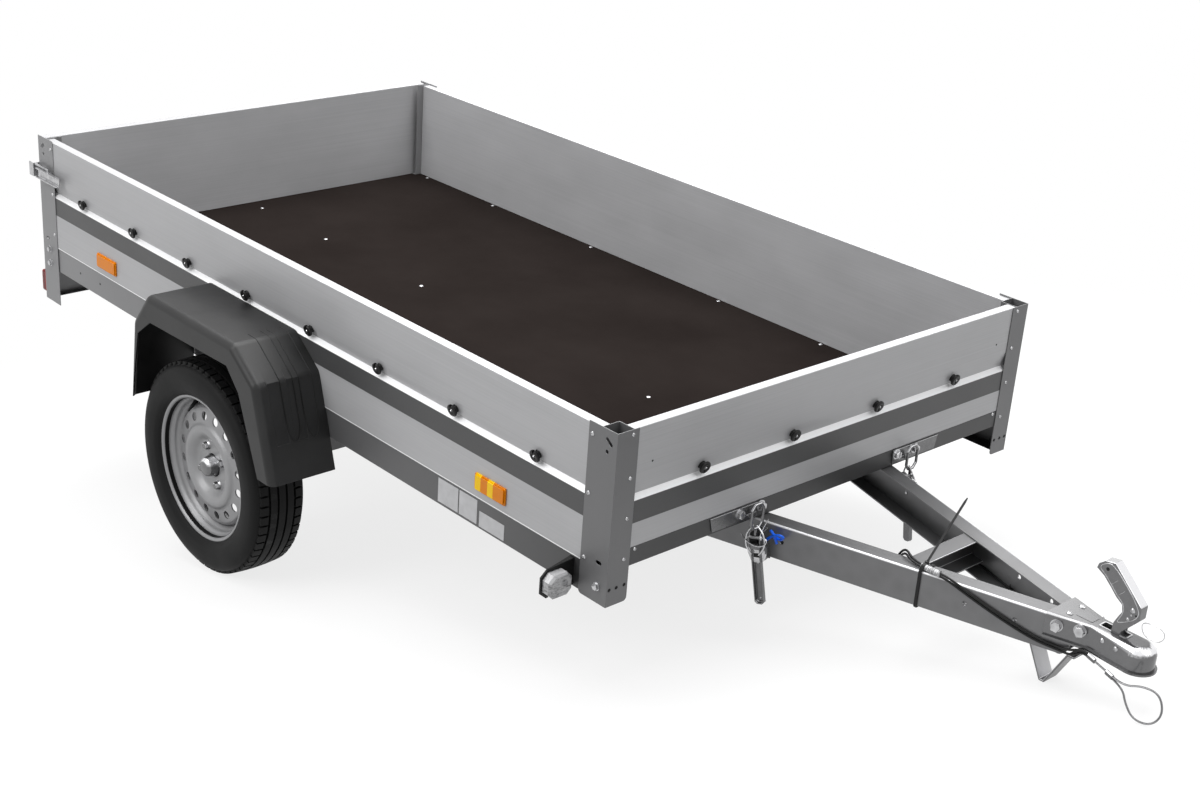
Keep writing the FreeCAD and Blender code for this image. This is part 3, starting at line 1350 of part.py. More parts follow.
def box_latches():
    """On each arm: a base with two cheeks and a cross pin, a lever channel, and a ring."""
    base = new_body("latch_base_one")
    half, thin, play = "Dims.latch_half_width", "Dims.latch_sheet", "Dims.latch_play"
    back = outline(base, "XZ_Plane", [
        ("-%s" % half, "-58"),
        (half, "-58"),
        (half, "12"),
        ("-%s" % half, "12"),
    ], offset=play)
    pad(base, back, thin)
    wall = "-(%s + %s)" % (play, thin)
    reach = "-Dims.latch_reach"
    cheek = [
        (wall, "-54"),
        (wall, "10"),
        (reach + " + 8", "10"),
        (reach, "2"),
        (reach, "-20"),
        (reach + " + 12", "-34"),
        (reach + " + 16", "-54"),
    ]
    for start in ("-" + half, "%s - %s" % (half, thin)):
        pad(base, outline(base, "YZ_Plane", cheek, offset=start), thin)
    pin = circles(base, "YZ_Plane", [("-Dims.latch_pin_reach", "0", "Dims.latch_pin_radius")], offset="-" + half)
    pad(base, pin, "2 * " + half)
    both_sides(base, latch_frame(), "latch_bases")

    lever = new_body("latch_lever_one")
    wide, start, end = "Dims.lever_half_width", "-Dims.lever_start", "-(Dims.lever_start + Dims.lever_length)"
    face = outline(lever, "XZ_Plane", [
        ("-%s" % wide, start),
        ("-%s" % wide, end + " + 5"),
        ("-%s + 5" % wide, end),
        ("%s - 5" % wide, end),
        (wide, end + " + 5"),
        (wide, start),
    ], offset="Dims.lever_stand_off")
    pad(lever, face, "Dims.lever_depth")
    inner = "(Dims.lever_half_width - Dims.latch_sheet)"
    dish = outline(lever, "XZ_Plane", [
        ("-%s" % inner, start + " - 10"),
        ("-%s" % inner, end + " + 7"),
        ("-%s + 4" % inner, end + " + 3"),
        ("%s - 4" % inner, end + " + 3"),
        (inner, end + " + 7"),
        (inner, start + " - 10"),
    ], offset="Dims.lever_stand_off + " + thin)
    pocket(lever, dish, "Dims.lever_depth", reverse=True)
    both_sides(lever, latch_frame(), "latch_levers")

    ring = new_body("latch_ring_one")
    wire = "Dims.ring_wire"
    for inset, cut in (("0", False), (wire, True)):
        points = []
        for across, up, corner in ((-1, -1, 0), (1, -1, 1), (1, 1, 0), (-1, 1, 1)):
            wide = "(Dims.ring_half_width - %s)" % inset
            tall = "(Dims.ring_half_height - %s)" % inset
            side = ("Dims.ring_y + %d * %s" % (across, wide), "Dims.ring_z + %d * (%s - %s * 0.7)" % (up, tall, wide))
            end = ("Dims.ring_y + %d * %s * 0.45" % (across, wide), "Dims.ring_z + %d * %s" % (up, tall))
            points.extend([end, side] if corner else [side, end])
        sketch = outline(ring, "YZ_Plane", points, offset="Dims.ring_x" if not cut else "Dims.ring_x - 5")
        if cut:
            pocket(ring, sketch, "20", reverse=True)
        else:
            pad(ring, sketch, wire)
    foot = "Dims.latch_pin_z + Dims.latch_pin_radius + %s * 0.1 + %s" % (wire, play)
    shank = outline(ring, "YZ_Plane", [
        ("Dims.ring_y - %s / 2" % wire, foot),
        ("Dims.ring_y + %s / 2" % wire, foot),
        ("Dims.ring_y + %s / 2" % wire, "Dims.ring_z - Dims.ring_half_height + 2"),
        ("Dims.ring_y - %s / 2" % wire, "Dims.ring_z - Dims.ring_half_height + 2"),
    ], offset="Dims.ring_x")
    pad(ring, shank, wire)
    both_sides(ring, name="latch_rings")

    bracket = new_body("latch_bracket_one")
    face = FRONT_FACE_X
    plate = outline(bracket, "YZ_Plane", [
        ("Dims.latch_bracket_outer_y + 8", "Dims.latch_bracket_foot"),
        ("Dims.latch_bracket_inner_y", "Dims.latch_bracket_foot"),
        ("Dims.latch_bracket_inner_y", "Dims.latch_bracket_head"),
        ("Dims.latch_bracket_outer_y", "Dims.latch_bracket_head"),
    ], offset=face)
    pad(bracket, plate, "Dims.latch_bracket_sheet")
    front = face + " + Dims.latch_bracket_sheet"
    hook = outline(bracket, "XZ_Plane", [
        (front, "Dims.latch_bracket_foot + 8"),
        (front + " + Dims.latch_hook_reach", "Dims.latch_bracket_foot + 8"),
        (front + " + Dims.latch_hook_reach", "Dims.latch_bracket_foot + 18"),
        (front + " + Dims.latch_hook_reach - 3", "Dims.latch_bracket_foot + 18"),
        (front + " + Dims.latch_hook_reach - 3", "Dims.latch_bracket_foot + 11"),
        (front, "Dims.latch_bracket_foot + 11"),
    ], offset="-Dims.ring_y - 9")
    pad(bracket, hook, "18")
    both_sides(bracket, name="latch_brackets")


# Tailgate and its hinges
def tailgate():
    body = new_body("tailgate_panel")
    back = REAR_X
    front = REAR_X + " + Dims.panel_thickness"
    groove = "Dims.groove_depth"
    side = "-(Dims.half_width - Dims.post_sheet - Dims.tailgate_gap)"
    sketch = outline(body, "XZ_Plane", [
        (back, "Dims.tailgate_bottom"),
        (front, "Dims.tailgate_bottom"),
        (front, "Dims.side_top"),
        (back, "Dims.side_top"),
        (back, "Dims.groove_head"),
        (back + " + " + groove, "Dims.groove_bottom"),
        (back, "Dims.groove_foot"),
    ], offset=side)
    pad(body, sketch, "2 * (Dims.half_width - Dims.post_sheet - Dims.tailgate_gap)")
    keep(body)

    leaf = new_body("tailgate_hinge_one")
    start = "Dims.hinge_y - Dims.hinge_leaf_half_length"
    knuckle = circles(leaf, "XZ_Plane", [("(-Dims.box_length - Dims.hinge_setback)", "Dims.hinge_z", "Dims.hinge_knuckle_radius")],
                      offset=start)
    pad(leaf, knuckle, "2 * Dims.hinge_leaf_half_length")
    strap = outline(leaf, "XZ_Plane", [
        (back, "Dims.hinge_z"),
        (back, "Dims.tailgate_bottom + 60"),
        (back + " - Dims.hinge_sheet", "Dims.tailgate_bottom + 60"),
        (back + " - Dims.hinge_sheet", "Dims.hinge_z"),
    ], offset=start)
    pad(leaf, strap, "2 * Dims.hinge_leaf_half_length")
    bore = circles(leaf, "XZ_Plane", [("(-Dims.box_length - Dims.hinge_setback)", "Dims.hinge_z", "Dims.hinge_pin_radius + 0.06")],
                   offset=start + " - 5")
    pocket(leaf, bore, "2 * Dims.hinge_leaf_half_length + 10", reverse=True)
    both_sides(leaf, name="tailgate_hinges")

    seat = new_body("hinge_seat_one")
    reach = "(Dims.hinge_leaf_half_length + Dims.side_gap)"
    pin = circles(seat, "XZ_Plane", [("(-Dims.box_length - Dims.hinge_setback)", "Dims.hinge_z", "Dims.hinge_pin_radius")],
                  offset="Dims.hinge_y - %s - 12" % reach)
    pad(seat, pin, "2 * (%s) + 24" % reach)
    board = "-Dims.box_length + Dims.lamp_board_inset"
    for start in ("Dims.hinge_y - %s - 12" % reach, "Dims.hinge_y + " + reach):
        ear = outline(seat, "XZ_Plane", [
            (board, "Dims.hinge_z - 24"),
            (board, "Dims.hinge_z + 7"),
            ("(-Dims.box_length - Dims.hinge_setback)", "Dims.hinge_z + 9"),
            ("(-Dims.box_length - Dims.hinge_setback) - 9", "Dims.hinge_z"),
            ("(-Dims.box_length - Dims.hinge_setback) - 6", "Dims.hinge_z - 8"),
        ], offset=start)
        pad(seat, ear, "12")
    both_sides(seat, name="hinge_seats")


# Cables: each route is a chain of points, with an arc round each corner
CABLE_ROUTES = [
    [
        (270, -88, 50), (284, -93, 84), (320, -110, 76), (400, -109, 77), (446, -95.6, 57),
        (512, -76.2, 31), (588, -53.8, 7), (640, -39, 3), (668, -36, 3.5), (687.3, -34.1, 21.5),
        (701.8, -37.4, 19.5),
    ],
    [
        (266, -87, 56), (281, -88.5, 91.5), (320, -104, 76), (398, -109, 83.5), (448, -94.9, 64),
        (514, -75.6, 38), (590, -53.2, 14), (640, -39, 9.4), (660, -38.5, 13), (689, -35.2, 26.8),
        (702.5, -37.5, 24.7),
    ],
]
ROPE_START = (721.5, -41.8, 19.4)
FRONT_SLEEVE_FACE = (769.5, -52.7, 12)
SLEEVE_AXIS = (0.967, -0.218, -0.1335)
FREE_CORD = ["safety_rope", "rope_sleeve_front"]
ROPE_ROUTE = [
    (721.5, -41.8, 19.4), (749.1, -48, 15.6), (798.8, -59.3, 11.1), (836, -60, 30), (874, -61, 32),
    (888, -61, -6), (868, -61, -40), (830, -60, -46), (808, -59, -22), (797.2, -58.9, 5.1),
    (769.2, -52.6, 9),
]


CORD_SIDES = 8


def cord(points, width):
    """A many-sided cord along straight runs and tangent arcs, with its tightest bend and its length."""
    points = [Vector(*point) for point in points]
    edges, radii, start = [], [], points[0]
    for before, corner, after in zip(points, points[1:], points[2:]):
        back, ahead = before - corner, after - corner
        cut = 0.45 * min(back.Length, ahead.Length)
        back.normalize()
        ahead.normalize()
        half_turn = (math.pi - back.getAngle(ahead)) / 2
        radius = cut / math.tan(half_turn)
        inward = (back + ahead).normalize()
        middle = corner + inward * (radius / math.cos(half_turn) - radius)
        first, last = corner + back * cut, corner + ahead * cut
        edges.append(Part.LineSegment(start, first).toShape())
        edges.append(Part.Arc(first, middle, last).toShape())
        radii.append(radius)
        start = last
    edges.append(Part.LineSegment(start, points[-1]).toShape())
    path = Part.Wire(edges)
    round_section = Part.makeCircle(width / 2, points[0], points[1] - points[0])
    corners = round_section.discretize(CORD_SIDES + 1)
    section = Part.Face(Part.makePolygon(corners))
    solid = path.makePipe(section)
    expected = section.Area * path.Length
    if abs(solid.Volume - expected) > expected * 0.01:
        raise RuntimeError("a cord's volume isn't its section times its length")
    print("cord", round(path.Length, 1), "mm long, bends", [round(radius, 1) for radius in radii])
    return solid


def shaped(name, shape, place=None):
    """Keeps a plain shape as a sub-part."""
    item = doc.addObject("Part::Feature", name)
    item.Shape = shape
    keep(item, place)


def sleeve(length):
    """A pressed oval sleeve that runs back from the middle of its front face."""
    half_height, half_width = size("sleeve_half_height"), size("sleeve_half_width")
    reach = half_height - half_width
    outline_edges = [
        Part.LineSegment(Vector(half_width, -reach, 0), Vector(half_width, reach, 0)).toShape(),
        Part.Arc(Vector(half_width, reach, 0), Vector(0, half_height, 0), Vector(-half_width, reach, 0)).toShape(),
        Part.LineSegment(Vector(-half_width, reach, 0), Vector(-half_width, -reach, 0)).toShape(),
        Part.Arc(Vector(-half_width, -reach, 0), Vector(0, -half_height, 0), Vector(half_width, -reach, 0)).toShape(),
    ]
    return Part.Face(Part.Wire(outline_edges)).extrude(Vector(0, 0, -length))


def cables():
    """Two cables held along the right arm, and the breakaway rope that hangs from their end."""
    held = [cord(route, size("cable_width")) for route in CABLE_ROUTES]
    shaped("safety_cable", Part.makeCompound(held))
    rope = cord(ROPE_ROUTE, size("rope_width"))
    shaped("safety_rope", rope)
    along = Rotation(Vector(0, 1, 0), Vector(0, 0, 1), Vector(*SLEEVE_AXIS), "ZXY")
    shaped("rope_sleeve_rear", sleeve(size("rear_sleeve_length")), Placement(Vector(*ROPE_START), along))
    front = sleeve(size("front_sleeve_length"))
    front.Placement = Placement(Vector(*FRONT_SLEEVE_FACE), along)
    shaped("rope_sleeve_front", front.cut(rope))


# Latches that hold the tailgate shut
def gate_latches():
    """On each rear post: a base, a lever channel and a bail that reaches back to the catch."""
    latch = new_body("gate_latch_one")
    level = "Dims.gate_latch_z"
    face = "Dims.half_width"
    rear = REAR_X + " + Dims.gate_latch_rear_margin"
    front = rear + " + Dims.gate_latch_base_length"
    block = outline(latch, "XZ_Plane", [
        (rear, level + " - 10"),
        (front, level + " - 10"),
        (front, level + " + 10"),
        (rear, level + " + 10"),
    ], offset=face)
    pad(latch, block, "Dims.gate_latch_stand_off")
    half, thin = "Dims.gate_lever_half_height", "Dims.latch_sheet"
    start = rear + " - 2"
    end = start + " + Dims.gate_lever_length"
    seat = face + " + Dims.gate_latch_stand_off"
    lever = outline(latch, "XZ_Plane", [
        (start, level + " - " + half),
        (end, level + " - " + half),
        (end, level + " + " + half),
        (start, level + " + " + half),
    ], offset=seat)
    pad(latch, lever, "Dims.gate_lever_depth")
    dish = outline(latch, "XZ_Plane", [
        (start + " - 5", level + " - %s + %s" % (half, thin)),
        (end + " + 5", level + " - %s + %s" % (half, thin)),
        (end + " + 5", level + " + %s - %s" % (half, thin)),
        (start + " - 5", level + " + %s - %s" % (half, thin)),
    ], offset=seat + " + " + thin)
    pocket(latch, dish, "Dims.gate_lever_depth", reverse=True)
    wire = "Dims.gate_bail_wire"
    for side in (-1, 1):
        rod = outline(latch, "XZ_Plane", [
            (REAR_X, level + " + %d * (%s + 2)" % (side, half)),
            (front, level + " + %d * (%s + 2)" % (side, half)),
            (front, level + " + %d * (%s + 2 + %s)" % (side, half, wire)),
            (REAR_X, level + " + %d * (%s + 2 + %s)" % (side, half, wire)),
        ], offset=seat + " - 3")
        pad(latch, rod, wire)
    cross = outline(latch, "XZ_Plane", [
        (front + " - " + wire, level + " - (%s + 2 + %s)" % (half, wire)),
        (front, level + " - (%s + 2 + %s)" % (half, wire)),
        (front, level + " + (%s + 2 + %s)" % (half, wire)),
        (front + " - " + wire, level + " + (%s + 2 + %s)" % (half, wire)),
    ], offset=seat + " - 3")
    pad(latch, cross, wire)
    both_sides(latch, name="tailgate_latches")

    catch = new_body("gate_catch_one")
    tall = "Dims.gate_catch_half_height"
    back = REAR_X + " - Dims.gate_catch_gap"
    outer = "-(Dims.half_width + Dims.gate_catch_reach)"
    root = "-(Dims.half_width - Dims.post_sheet - Dims.tailgate_gap)"
    plan = outline(catch, "XY_Plane", [
        (REAR_X, root),
        (REAR_X, root + " + Dims.gate_catch_root"),
        (back, root + " + Dims.gate_catch_root"),
        (back + " - 3", root + " + Dims.gate_catch_root - 3"),
        (back + " - 3", outer + " + 3"),
        (back + " - Dims.gate_catch_tail", outer + " + 3"),
        (back + " - Dims.gate_catch_tail", outer),
        (back, outer),
        (back, root),
    ], offset=level + " - " + tall)
    pad(catch, plan, "2 * " + tall)
    both_sides(catch, name="tailgate_catches")


side_panel()
front_panel()
floor()
side_frame()
front_crossmember()
rear_lamp_board()
floor_bearers()
front_post()
rear_post()
buttons()
reflectors()
marker_lamps()
rear_lamps()
mudguard()
axle_beam()
axle_brackets()
swing_arm()
wheel()
drawbar_arm()
pivot_pin()
drawbar_brace()
box_buffers()
stand_foot()
coupling()
coupling_handle()
box_latches()
tailgate()
gate_latches()
cables()
doc.recompute()


# Parking: the trailer leans forward until its stand foot meets the ground
def parked_placement():
    along = size("foot_x") + size("foot_flat") - size("wheel_x")
    above = size("foot_z") - size("wheel_z")
    reach = math.hypot(along, above)
    pitch = math.asin(size("tyre_radius") / reach) + math.atan2(above, along)
    turn = Rotation(Vector(0, 1, 0), math.degrees(pitch))
    axle = turn.multVec(Vector(size("wheel_x"), 0, size("wheel_z")))
    return Placement(Vector(0, 0, size("tyre_radius") - axle.z), turn), math.degrees(pitch)


def place_all(parked):
    for item, place in placed:
        item.Placement = parked.multiply(place)
    doc.recompute()


def middle_of_outline():
    """The middle of all sub-parts along the ground, without the rope that hangs free."""
    whole = Part.makeCompound([item.Shape for item in parts if item.Label not in FREE_CORD])
    bounds = whole.optimalBoundingBox(False)
    return (bounds.XMin + bounds.XMax) / 2


parked, pitch_degrees = parked_placement()
place_all(parked)
shift = middle_of_outline()
parked = Placement(parked.Base - Vector(shift, 0, 0), parked.Rotation)
place_all(parked)

faults = [item.Name for item in doc.Objects if "Invalid" in item.State or "Error" in item.State]
if faults:
    raise RuntimeError("these features failed: " + ", ".join(faults))
for item in parts:
    if item.Shape.isNull() or not item.Shape.isValid() or not item.Shape.Solids:
        raise RuntimeError("no valid solid in " + item.Label)

os.makedirs("parts", exist_ok=True)
for item in parts:
    item.Shape.exportStep("parts/%s.step" % item.Label)


def row_point(x, y, z):
    """A point of the level trailer, in metres, where it lies once parked."""
    point = parked.multVec(Vector(x, y, z))
    return [round(point.x / 1000, 6), round(point.y / 1000, 6), round(point.z / 1000, 6)]


print("parked pitch", round(pitch_degrees, 4), "degrees, shift", round(shift, 4))
print("pivot", row_point(size("pivot_x"), 0, size("pivot_z")))
print("hinge", row_point(-size("box_length") - size("hinge_setback"), 0, size("hinge_z")))
print("wheel", row_point(size("wheel_x"), -value_of(WHEEL_Y), size("wheel_z")))
print("ball", row_point(size("ball_x"), 0, size("ball_z")))
print("sub-parts", len(parts))
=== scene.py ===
"""Finishes of a single-axle utility trailer: its sheet metal, wheels, lamps, fastenings and cables.

Pieces are modelled in the level trailer, in metres: x forward with 0 at the front face of the
front posts, y left, z up with 0 at the foot of the front posts. The last step of each piece
parks it nose down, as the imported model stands.
"""

import json
import math

import bmesh
import bpy
from mathutils import Matrix, Vector


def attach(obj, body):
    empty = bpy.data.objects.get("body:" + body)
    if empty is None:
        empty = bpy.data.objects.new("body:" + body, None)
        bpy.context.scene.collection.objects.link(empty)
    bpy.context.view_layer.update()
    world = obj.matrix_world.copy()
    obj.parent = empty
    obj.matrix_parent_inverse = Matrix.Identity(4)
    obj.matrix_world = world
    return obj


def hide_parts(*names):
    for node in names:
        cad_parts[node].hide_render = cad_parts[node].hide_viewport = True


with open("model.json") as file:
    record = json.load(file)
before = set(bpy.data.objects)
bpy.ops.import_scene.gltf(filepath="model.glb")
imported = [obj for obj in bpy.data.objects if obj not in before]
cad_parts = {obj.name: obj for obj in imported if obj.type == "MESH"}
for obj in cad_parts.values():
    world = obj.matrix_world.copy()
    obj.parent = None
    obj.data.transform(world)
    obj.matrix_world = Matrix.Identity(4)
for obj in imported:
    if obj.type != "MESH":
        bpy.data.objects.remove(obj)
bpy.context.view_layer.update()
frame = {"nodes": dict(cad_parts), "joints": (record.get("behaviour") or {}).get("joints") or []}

# Where the level trailer lies once it is parked, from two of its hinges
PIVOT_LEVEL = Vector((-1.165, 0, 0.032))
TAILGATE_HINGE_LEVEL = Vector((-2.342, 0, 0.070))


def joint_place(name):
    for joint in frame["joints"]:
        if joint["name"] == name:
            return Vector(joint["pos_m"])
    raise SystemExit("no joint " + name)


def slope(run):
    return math.atan2(run.z, run.x)


pivot = joint_place("box_tip")
PITCH = slope(PIVOT_LEVEL - TAILGATE_HINGE_LEVEL) - slope(pivot - joint_place("tailgate_swing"))
PARKED = Matrix.Translation(pivot) @ Matrix.Rotation(PITCH, 4, "Y") @ Matrix.Translation(-PIVOT_LEVEL)
LEVEL = PARKED.inverted()

# Driving sizes of the level trailer
HALF_WIDTH = 0.650
BOX_LENGTH = 2.334
POST_SHEET = 0.002
PANEL_FACE = HALF_WIDTH - POST_SHEET
FRAME_FACE = PANEL_FACE - 0.0013
FLOOR_TOP = 0.0865
STRIPE_FOOT, STRIPE_TOP = 0.1687, 0.218
LEDGE_TOP, LEDGE_DEPTH = 0.2286, 0.010
LOWER_LIP = 0.072
WHEEL = Vector((-1.2705, 0.737, -0.1652))
TYRE_RADIUS = 0.2665
ARM_FRONT_Y, ARM_SLOPE = 0.2233, 0.2935
ARM_TOP, ARM_HEIGHT = 0.0722, 0.080
COUPLING_TOP = 0.077
REFLECTOR_X = (-0.364, -1.974)
REFLECTOR_HALF, REFLECTOR_FOOT, REFLECTOR_HEAD = 0.04975, 0.092, 0.1315

RIGHT, FORWARD, UPWARD = (0, -1, 0), (1, 0, 0), (0, 0, 1)


# Making pieces
def park_and_link(name, bm, finish, body, replaces=(), smooth=35):
    """Turns a finished bmesh of the level trailer into a piece that rides on a body."""
    bmesh.ops.recalc_face_normals(bm, faces=bm.faces)
    bm.transform(PARKED)
    mesh = bpy.data.meshes.new(name)
    bm.to_mesh(mesh)
    bm.free()
    mesh.materials.append(finish)
    mesh.shade_smooth()
    mesh.set_sharp_from_angle(angle=math.radians(smooth))
    piece = bpy.data.objects.new(name, mesh)
    bpy.context.scene.collection.objects.link(piece)
    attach(piece, body)
    if replaces:
        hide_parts(*replaces)
    return piece


def add_bevel(piece, width, segments=2, angle=30):
    """Rounds the edges, and keeps the flat faces beside them flat in the light."""
    bevel = piece.modifiers.new("edges", "BEVEL")
    bevel.width = width
    bevel.segments = segments
    bevel.limit_method = "ANGLE"
    bevel.angle_limit = math.radians(angle)
    weights = piece.modifiers.new("face_weights", "WEIGHTED_NORMAL")
    weights.keep_sharp = True


def node_copy(node):
    """A copy of a node's mesh in the level trailer, with its doubles merged and flat faces whole."""
    bm = bmesh.new()
    bm.from_mesh(frame["nodes"][node].data)
    bm.transform(LEVEL)
    bmesh.ops.remove_doubles(bm, verts=bm.verts, dist=2e-5)
    bmesh.ops.dissolve_limit(bm, angle_limit=math.radians(0.6), verts=bm.verts, edges=bm.edges)
    return bm


def softened(nodes, finish, body, width, segments=2, smooth=35, angle=30):
    """Nodes with their edges rounded, each in its own place."""
    for node in nodes:
        piece = park_and_link(node + "_finish", node_copy(node), finish, body, [node], smooth)
        add_bevel(piece, width, segments, angle)


def both(name):
    """The names of a pair's right and left node."""
    return [name + "_right", name + "_left"]


def lathe(profile, steps, closed=False, angle=2 * math.pi):
    """Turns a profile of (radius, place along y) about the y axis."""
    bm = bmesh.new()
    verts = [bm.verts.new((radius, along, 0)) for radius, along in profile]
    pairs = list(zip(verts, verts[1:]))
    if closed:
        pairs.append((verts[-1], verts[0]))
    edges = [bm.edges.new(pair) for pair in pairs]
    full = abs(angle - 2 * math.pi) < 1e-6
    bmesh.ops.spin(bm, geom=verts + edges, cent=(0, 0, 0), axis=(0, 1, 0), dvec=(0, 0, 0),
                   angle=angle, steps=steps, use_merge=full, use_duplicate=False)
    bmesh.ops.remove_doubles(bm, verts=bm.verts, dist=1e-6)
    return bm


def rounded(points, radius, steps=4, closed=False):
    """A line through 2-D points with its corners rounded off."""
    out = []
    count = len(points)
    for index, point in enumerate(points):
        if not closed and index in (0, count - 1):
            out.append(point)
            continue
        corner = Vector(point)
        back = Vector(points[index - 1]) - corner
        ahead = Vector(points[(index + 1) % count]) - corner
        reach = min(radius, back.length * 0.45, ahead.length * 0.45)
        start = corner + back.normalized() * reach
        end = corner + ahead.normalized() * reach
        for step in range(steps + 1):
            share = step / steps
            bend = start.lerp(corner, share).lerp(corner.lerp(end, share), share)
            out.append((bend.x, bend.y))
    return out


def prism(points, plane, start, end):
    """A solid from a closed 2-D outline on a plane: XZ along y, YZ along x, or XY along z."""
    bm = bmesh.new()
    if plane == "XZ":
        corners = [(u, start, v) for u, v in points]
        along = Vector((0, end - start, 0))
    elif plane == "YZ":
        corners = [(start, u, v) for u, v in points]
        along = Vector((end - start, 0, 0))
    else:
        corners = [(u, v, start) for u, v in points]
        along = Vector((0, 0, end - start))
    face = bm.faces.new([bm.verts.new(corner) for corner in corners])
    made = bmesh.ops.extrude_face_region(bm, geom=[face])["geom"]
    moved = [item for item in made if isinstance(item, bmesh.types.BMVert)]
    bmesh.ops.translate(bm, verts=moved, vec=along)
    bmesh.ops.recalc_face_normals(bm, faces=bm.faces)
    return bm


def plate(low, high, radius, steps, plane, start, end):
    """A flat plate with rounded corners, from its lowest and highest corner on a plane."""
    corners = [low, (high[0], low[1]), high, (low[0], high[1])]
    return prism(rounded(corners, radius, steps, closed=True), plane, start, end)


def block(size, place):
    """A box with its middle at a place."""
    bm = bmesh.new()
    bmesh.ops.create_cube(bm, size=1)
    bmesh.ops.scale(bm, vec=size, verts=bm.verts)
    bmesh.ops.translate(bm, vec=place, verts=bm.verts)
    return bm


def drum(radius, depth, segments, middle=0.0):
    """A closed cylinder along +y, or a prism where it has few sides."""
    bm = bmesh.new()
    bmesh.ops.create_cone(bm, cap_ends=True, segments=segments, radius1=radius, radius2=radius, depth=depth)
    bm.transform(Matrix.Translation((0, middle, 0)) @ Matrix.Rotation(-math.pi / 2, 4, "X"))
    return bm


def aimed(bm, direction, place, roll=0.0):
    """Turns a bmesh made along +y so that it points another way, and puts it in place."""
    turn = Vector((0, 1, 0)).rotation_difference(Vector(direction).normalized()).to_matrix().to_4x4()
    spin = Matrix.Rotation(roll, 4, "Y")
    bm.transform(Matrix.Translation(Vector(place)) @ turn @ spin)
    return bm


def placed(shape, direction, places):
    """Copies of a shape made along +y, which all point one way, one at each place."""
    return [aimed(shape.copy(), direction, place) for place in places]


def joined(meshes):
    """One bmesh out of several."""
    whole = bmesh.new()
    for bm in meshes:
        scratch = bpy.data.meshes.new("scratch")
        bm.to_mesh(scratch)
        bm.free()
        whole.from_mesh(scratch)
        bpy.data.meshes.remove(scratch)
    return whole


def flipped(bm):
    """A mirror image across the trailer's middle, in place of the shape itself."""
    bm.transform(Matrix.Scale(-1, 4, (0, 1, 0)))
    bmesh.ops.reverse_faces(bm, faces=bm.faces)
    return bm


def twinned(bm):
    """A shape and its mirror image across the trailer's middle."""
    return joined([bm.copy(), flipped(bm)])


def smooth_line(points, radius=0.0, fineness=2, cyclic=False, steps=6):
    """A smooth line through points: a round bar, or the bare line where it has no radius."""
    curve = bpy.data.curves.new("line", "CURVE")
    curve.dimensions = "3D"
    spline = curve.splines.new("NURBS")
    spline.points.add(len(points) - 1)
    for target, point in zip(spline.points, points):
        target.co = (*point, 1)
    spline.order_u = 3
    spline.use_endpoint_u = not cyclic
    spline.use_cyclic_u = cyclic
    spline.resolution_u = steps
    curve.bevel_depth = radius
    curve.bevel_resolution = fineness
    curve.use_fill_caps = True
    holder = bpy.data.objects.new("line", curve)
    mesh = bpy.data.meshes.new_from_object(holder)
    bm = bmesh.new()
    bm.from_mesh(mesh)
    bpy.data.objects.remove(holder)
    bpy.data.meshes.remove(mesh)
    bpy.data.curves.remove(curve)
    return bm


def bar(points, radius, fineness=2, cyclic=False):
    """A round bar along a smooth line."""
    bm = smooth_line(points, radius, fineness, cyclic)
    bmesh.ops.remove_doubles(bm, verts=bm.verts, dist=1e-6)
    return bm


def with_holes(bm, cutter):
    """A mesh with another cut out of it."""
    made = []
    for name, source in (("cut_base", bm), ("cut_tool", cutter)):
        bmesh.ops.recalc_face_normals(source, faces=source.faces)
        mesh = bpy.data.meshes.new(name)
        source.to_mesh(mesh)
        source.free()
        thing = bpy.data.objects.new(name, mesh)
        bpy.context.scene.collection.objects.link(thing)
        made.append(thing)
    base, tool = made
    cut = base.modifiers.new("cut", "BOOLEAN")
    cut.operation = "DIFFERENCE"
    cut.solver = "EXACT"
    cut.object = tool
    graph = bpy.context.evaluated_depsgraph_get()
    mesh = bpy.data.meshes.new_from_object(base.evaluated_get(graph))
    out = bmesh.new()
    out.from_mesh(mesh)
    bpy.data.meshes.remove(mesh)
    for thing in made:
        mesh = thing.data
        bpy.data.objects.remove(thing)
        bpy.data.meshes.remove(mesh)
    return out


def hexagon_head(across_flats, height, washer=0.0, dome=0.18):
    """A hexagon head that stands up along +y from 0, with a chamfered top and a washer under it."""
    meshes = [drum(across_flats * 0.72, washer, 24, washer / 2)] if washer else []
    head = drum(across_flats / math.sqrt(3), height, 6, washer + height / 2)
    rim = [edge for edge in head.edges if all(vert.co.y > washer + height * 0.9 for vert in edge.verts)]
    bmesh.ops.bevel(head, geom=rim, offset=height * dome, affect="EDGES", segments=2, profile=0.5,
                    material=-1, clamp_overlap=True)
    return joined(meshes + [head])


def rivet_head(radius, height):
    """A low domed head along +y, with a dimple in its middle."""
    return lathe([(0, height * 0.55), (radius * 0.32, height * 0.55), (radius * 0.42, height),
                  (radius * 0.75, height * 0.82), (radius, height * 0.25), (radius, -0.0002)], 18)


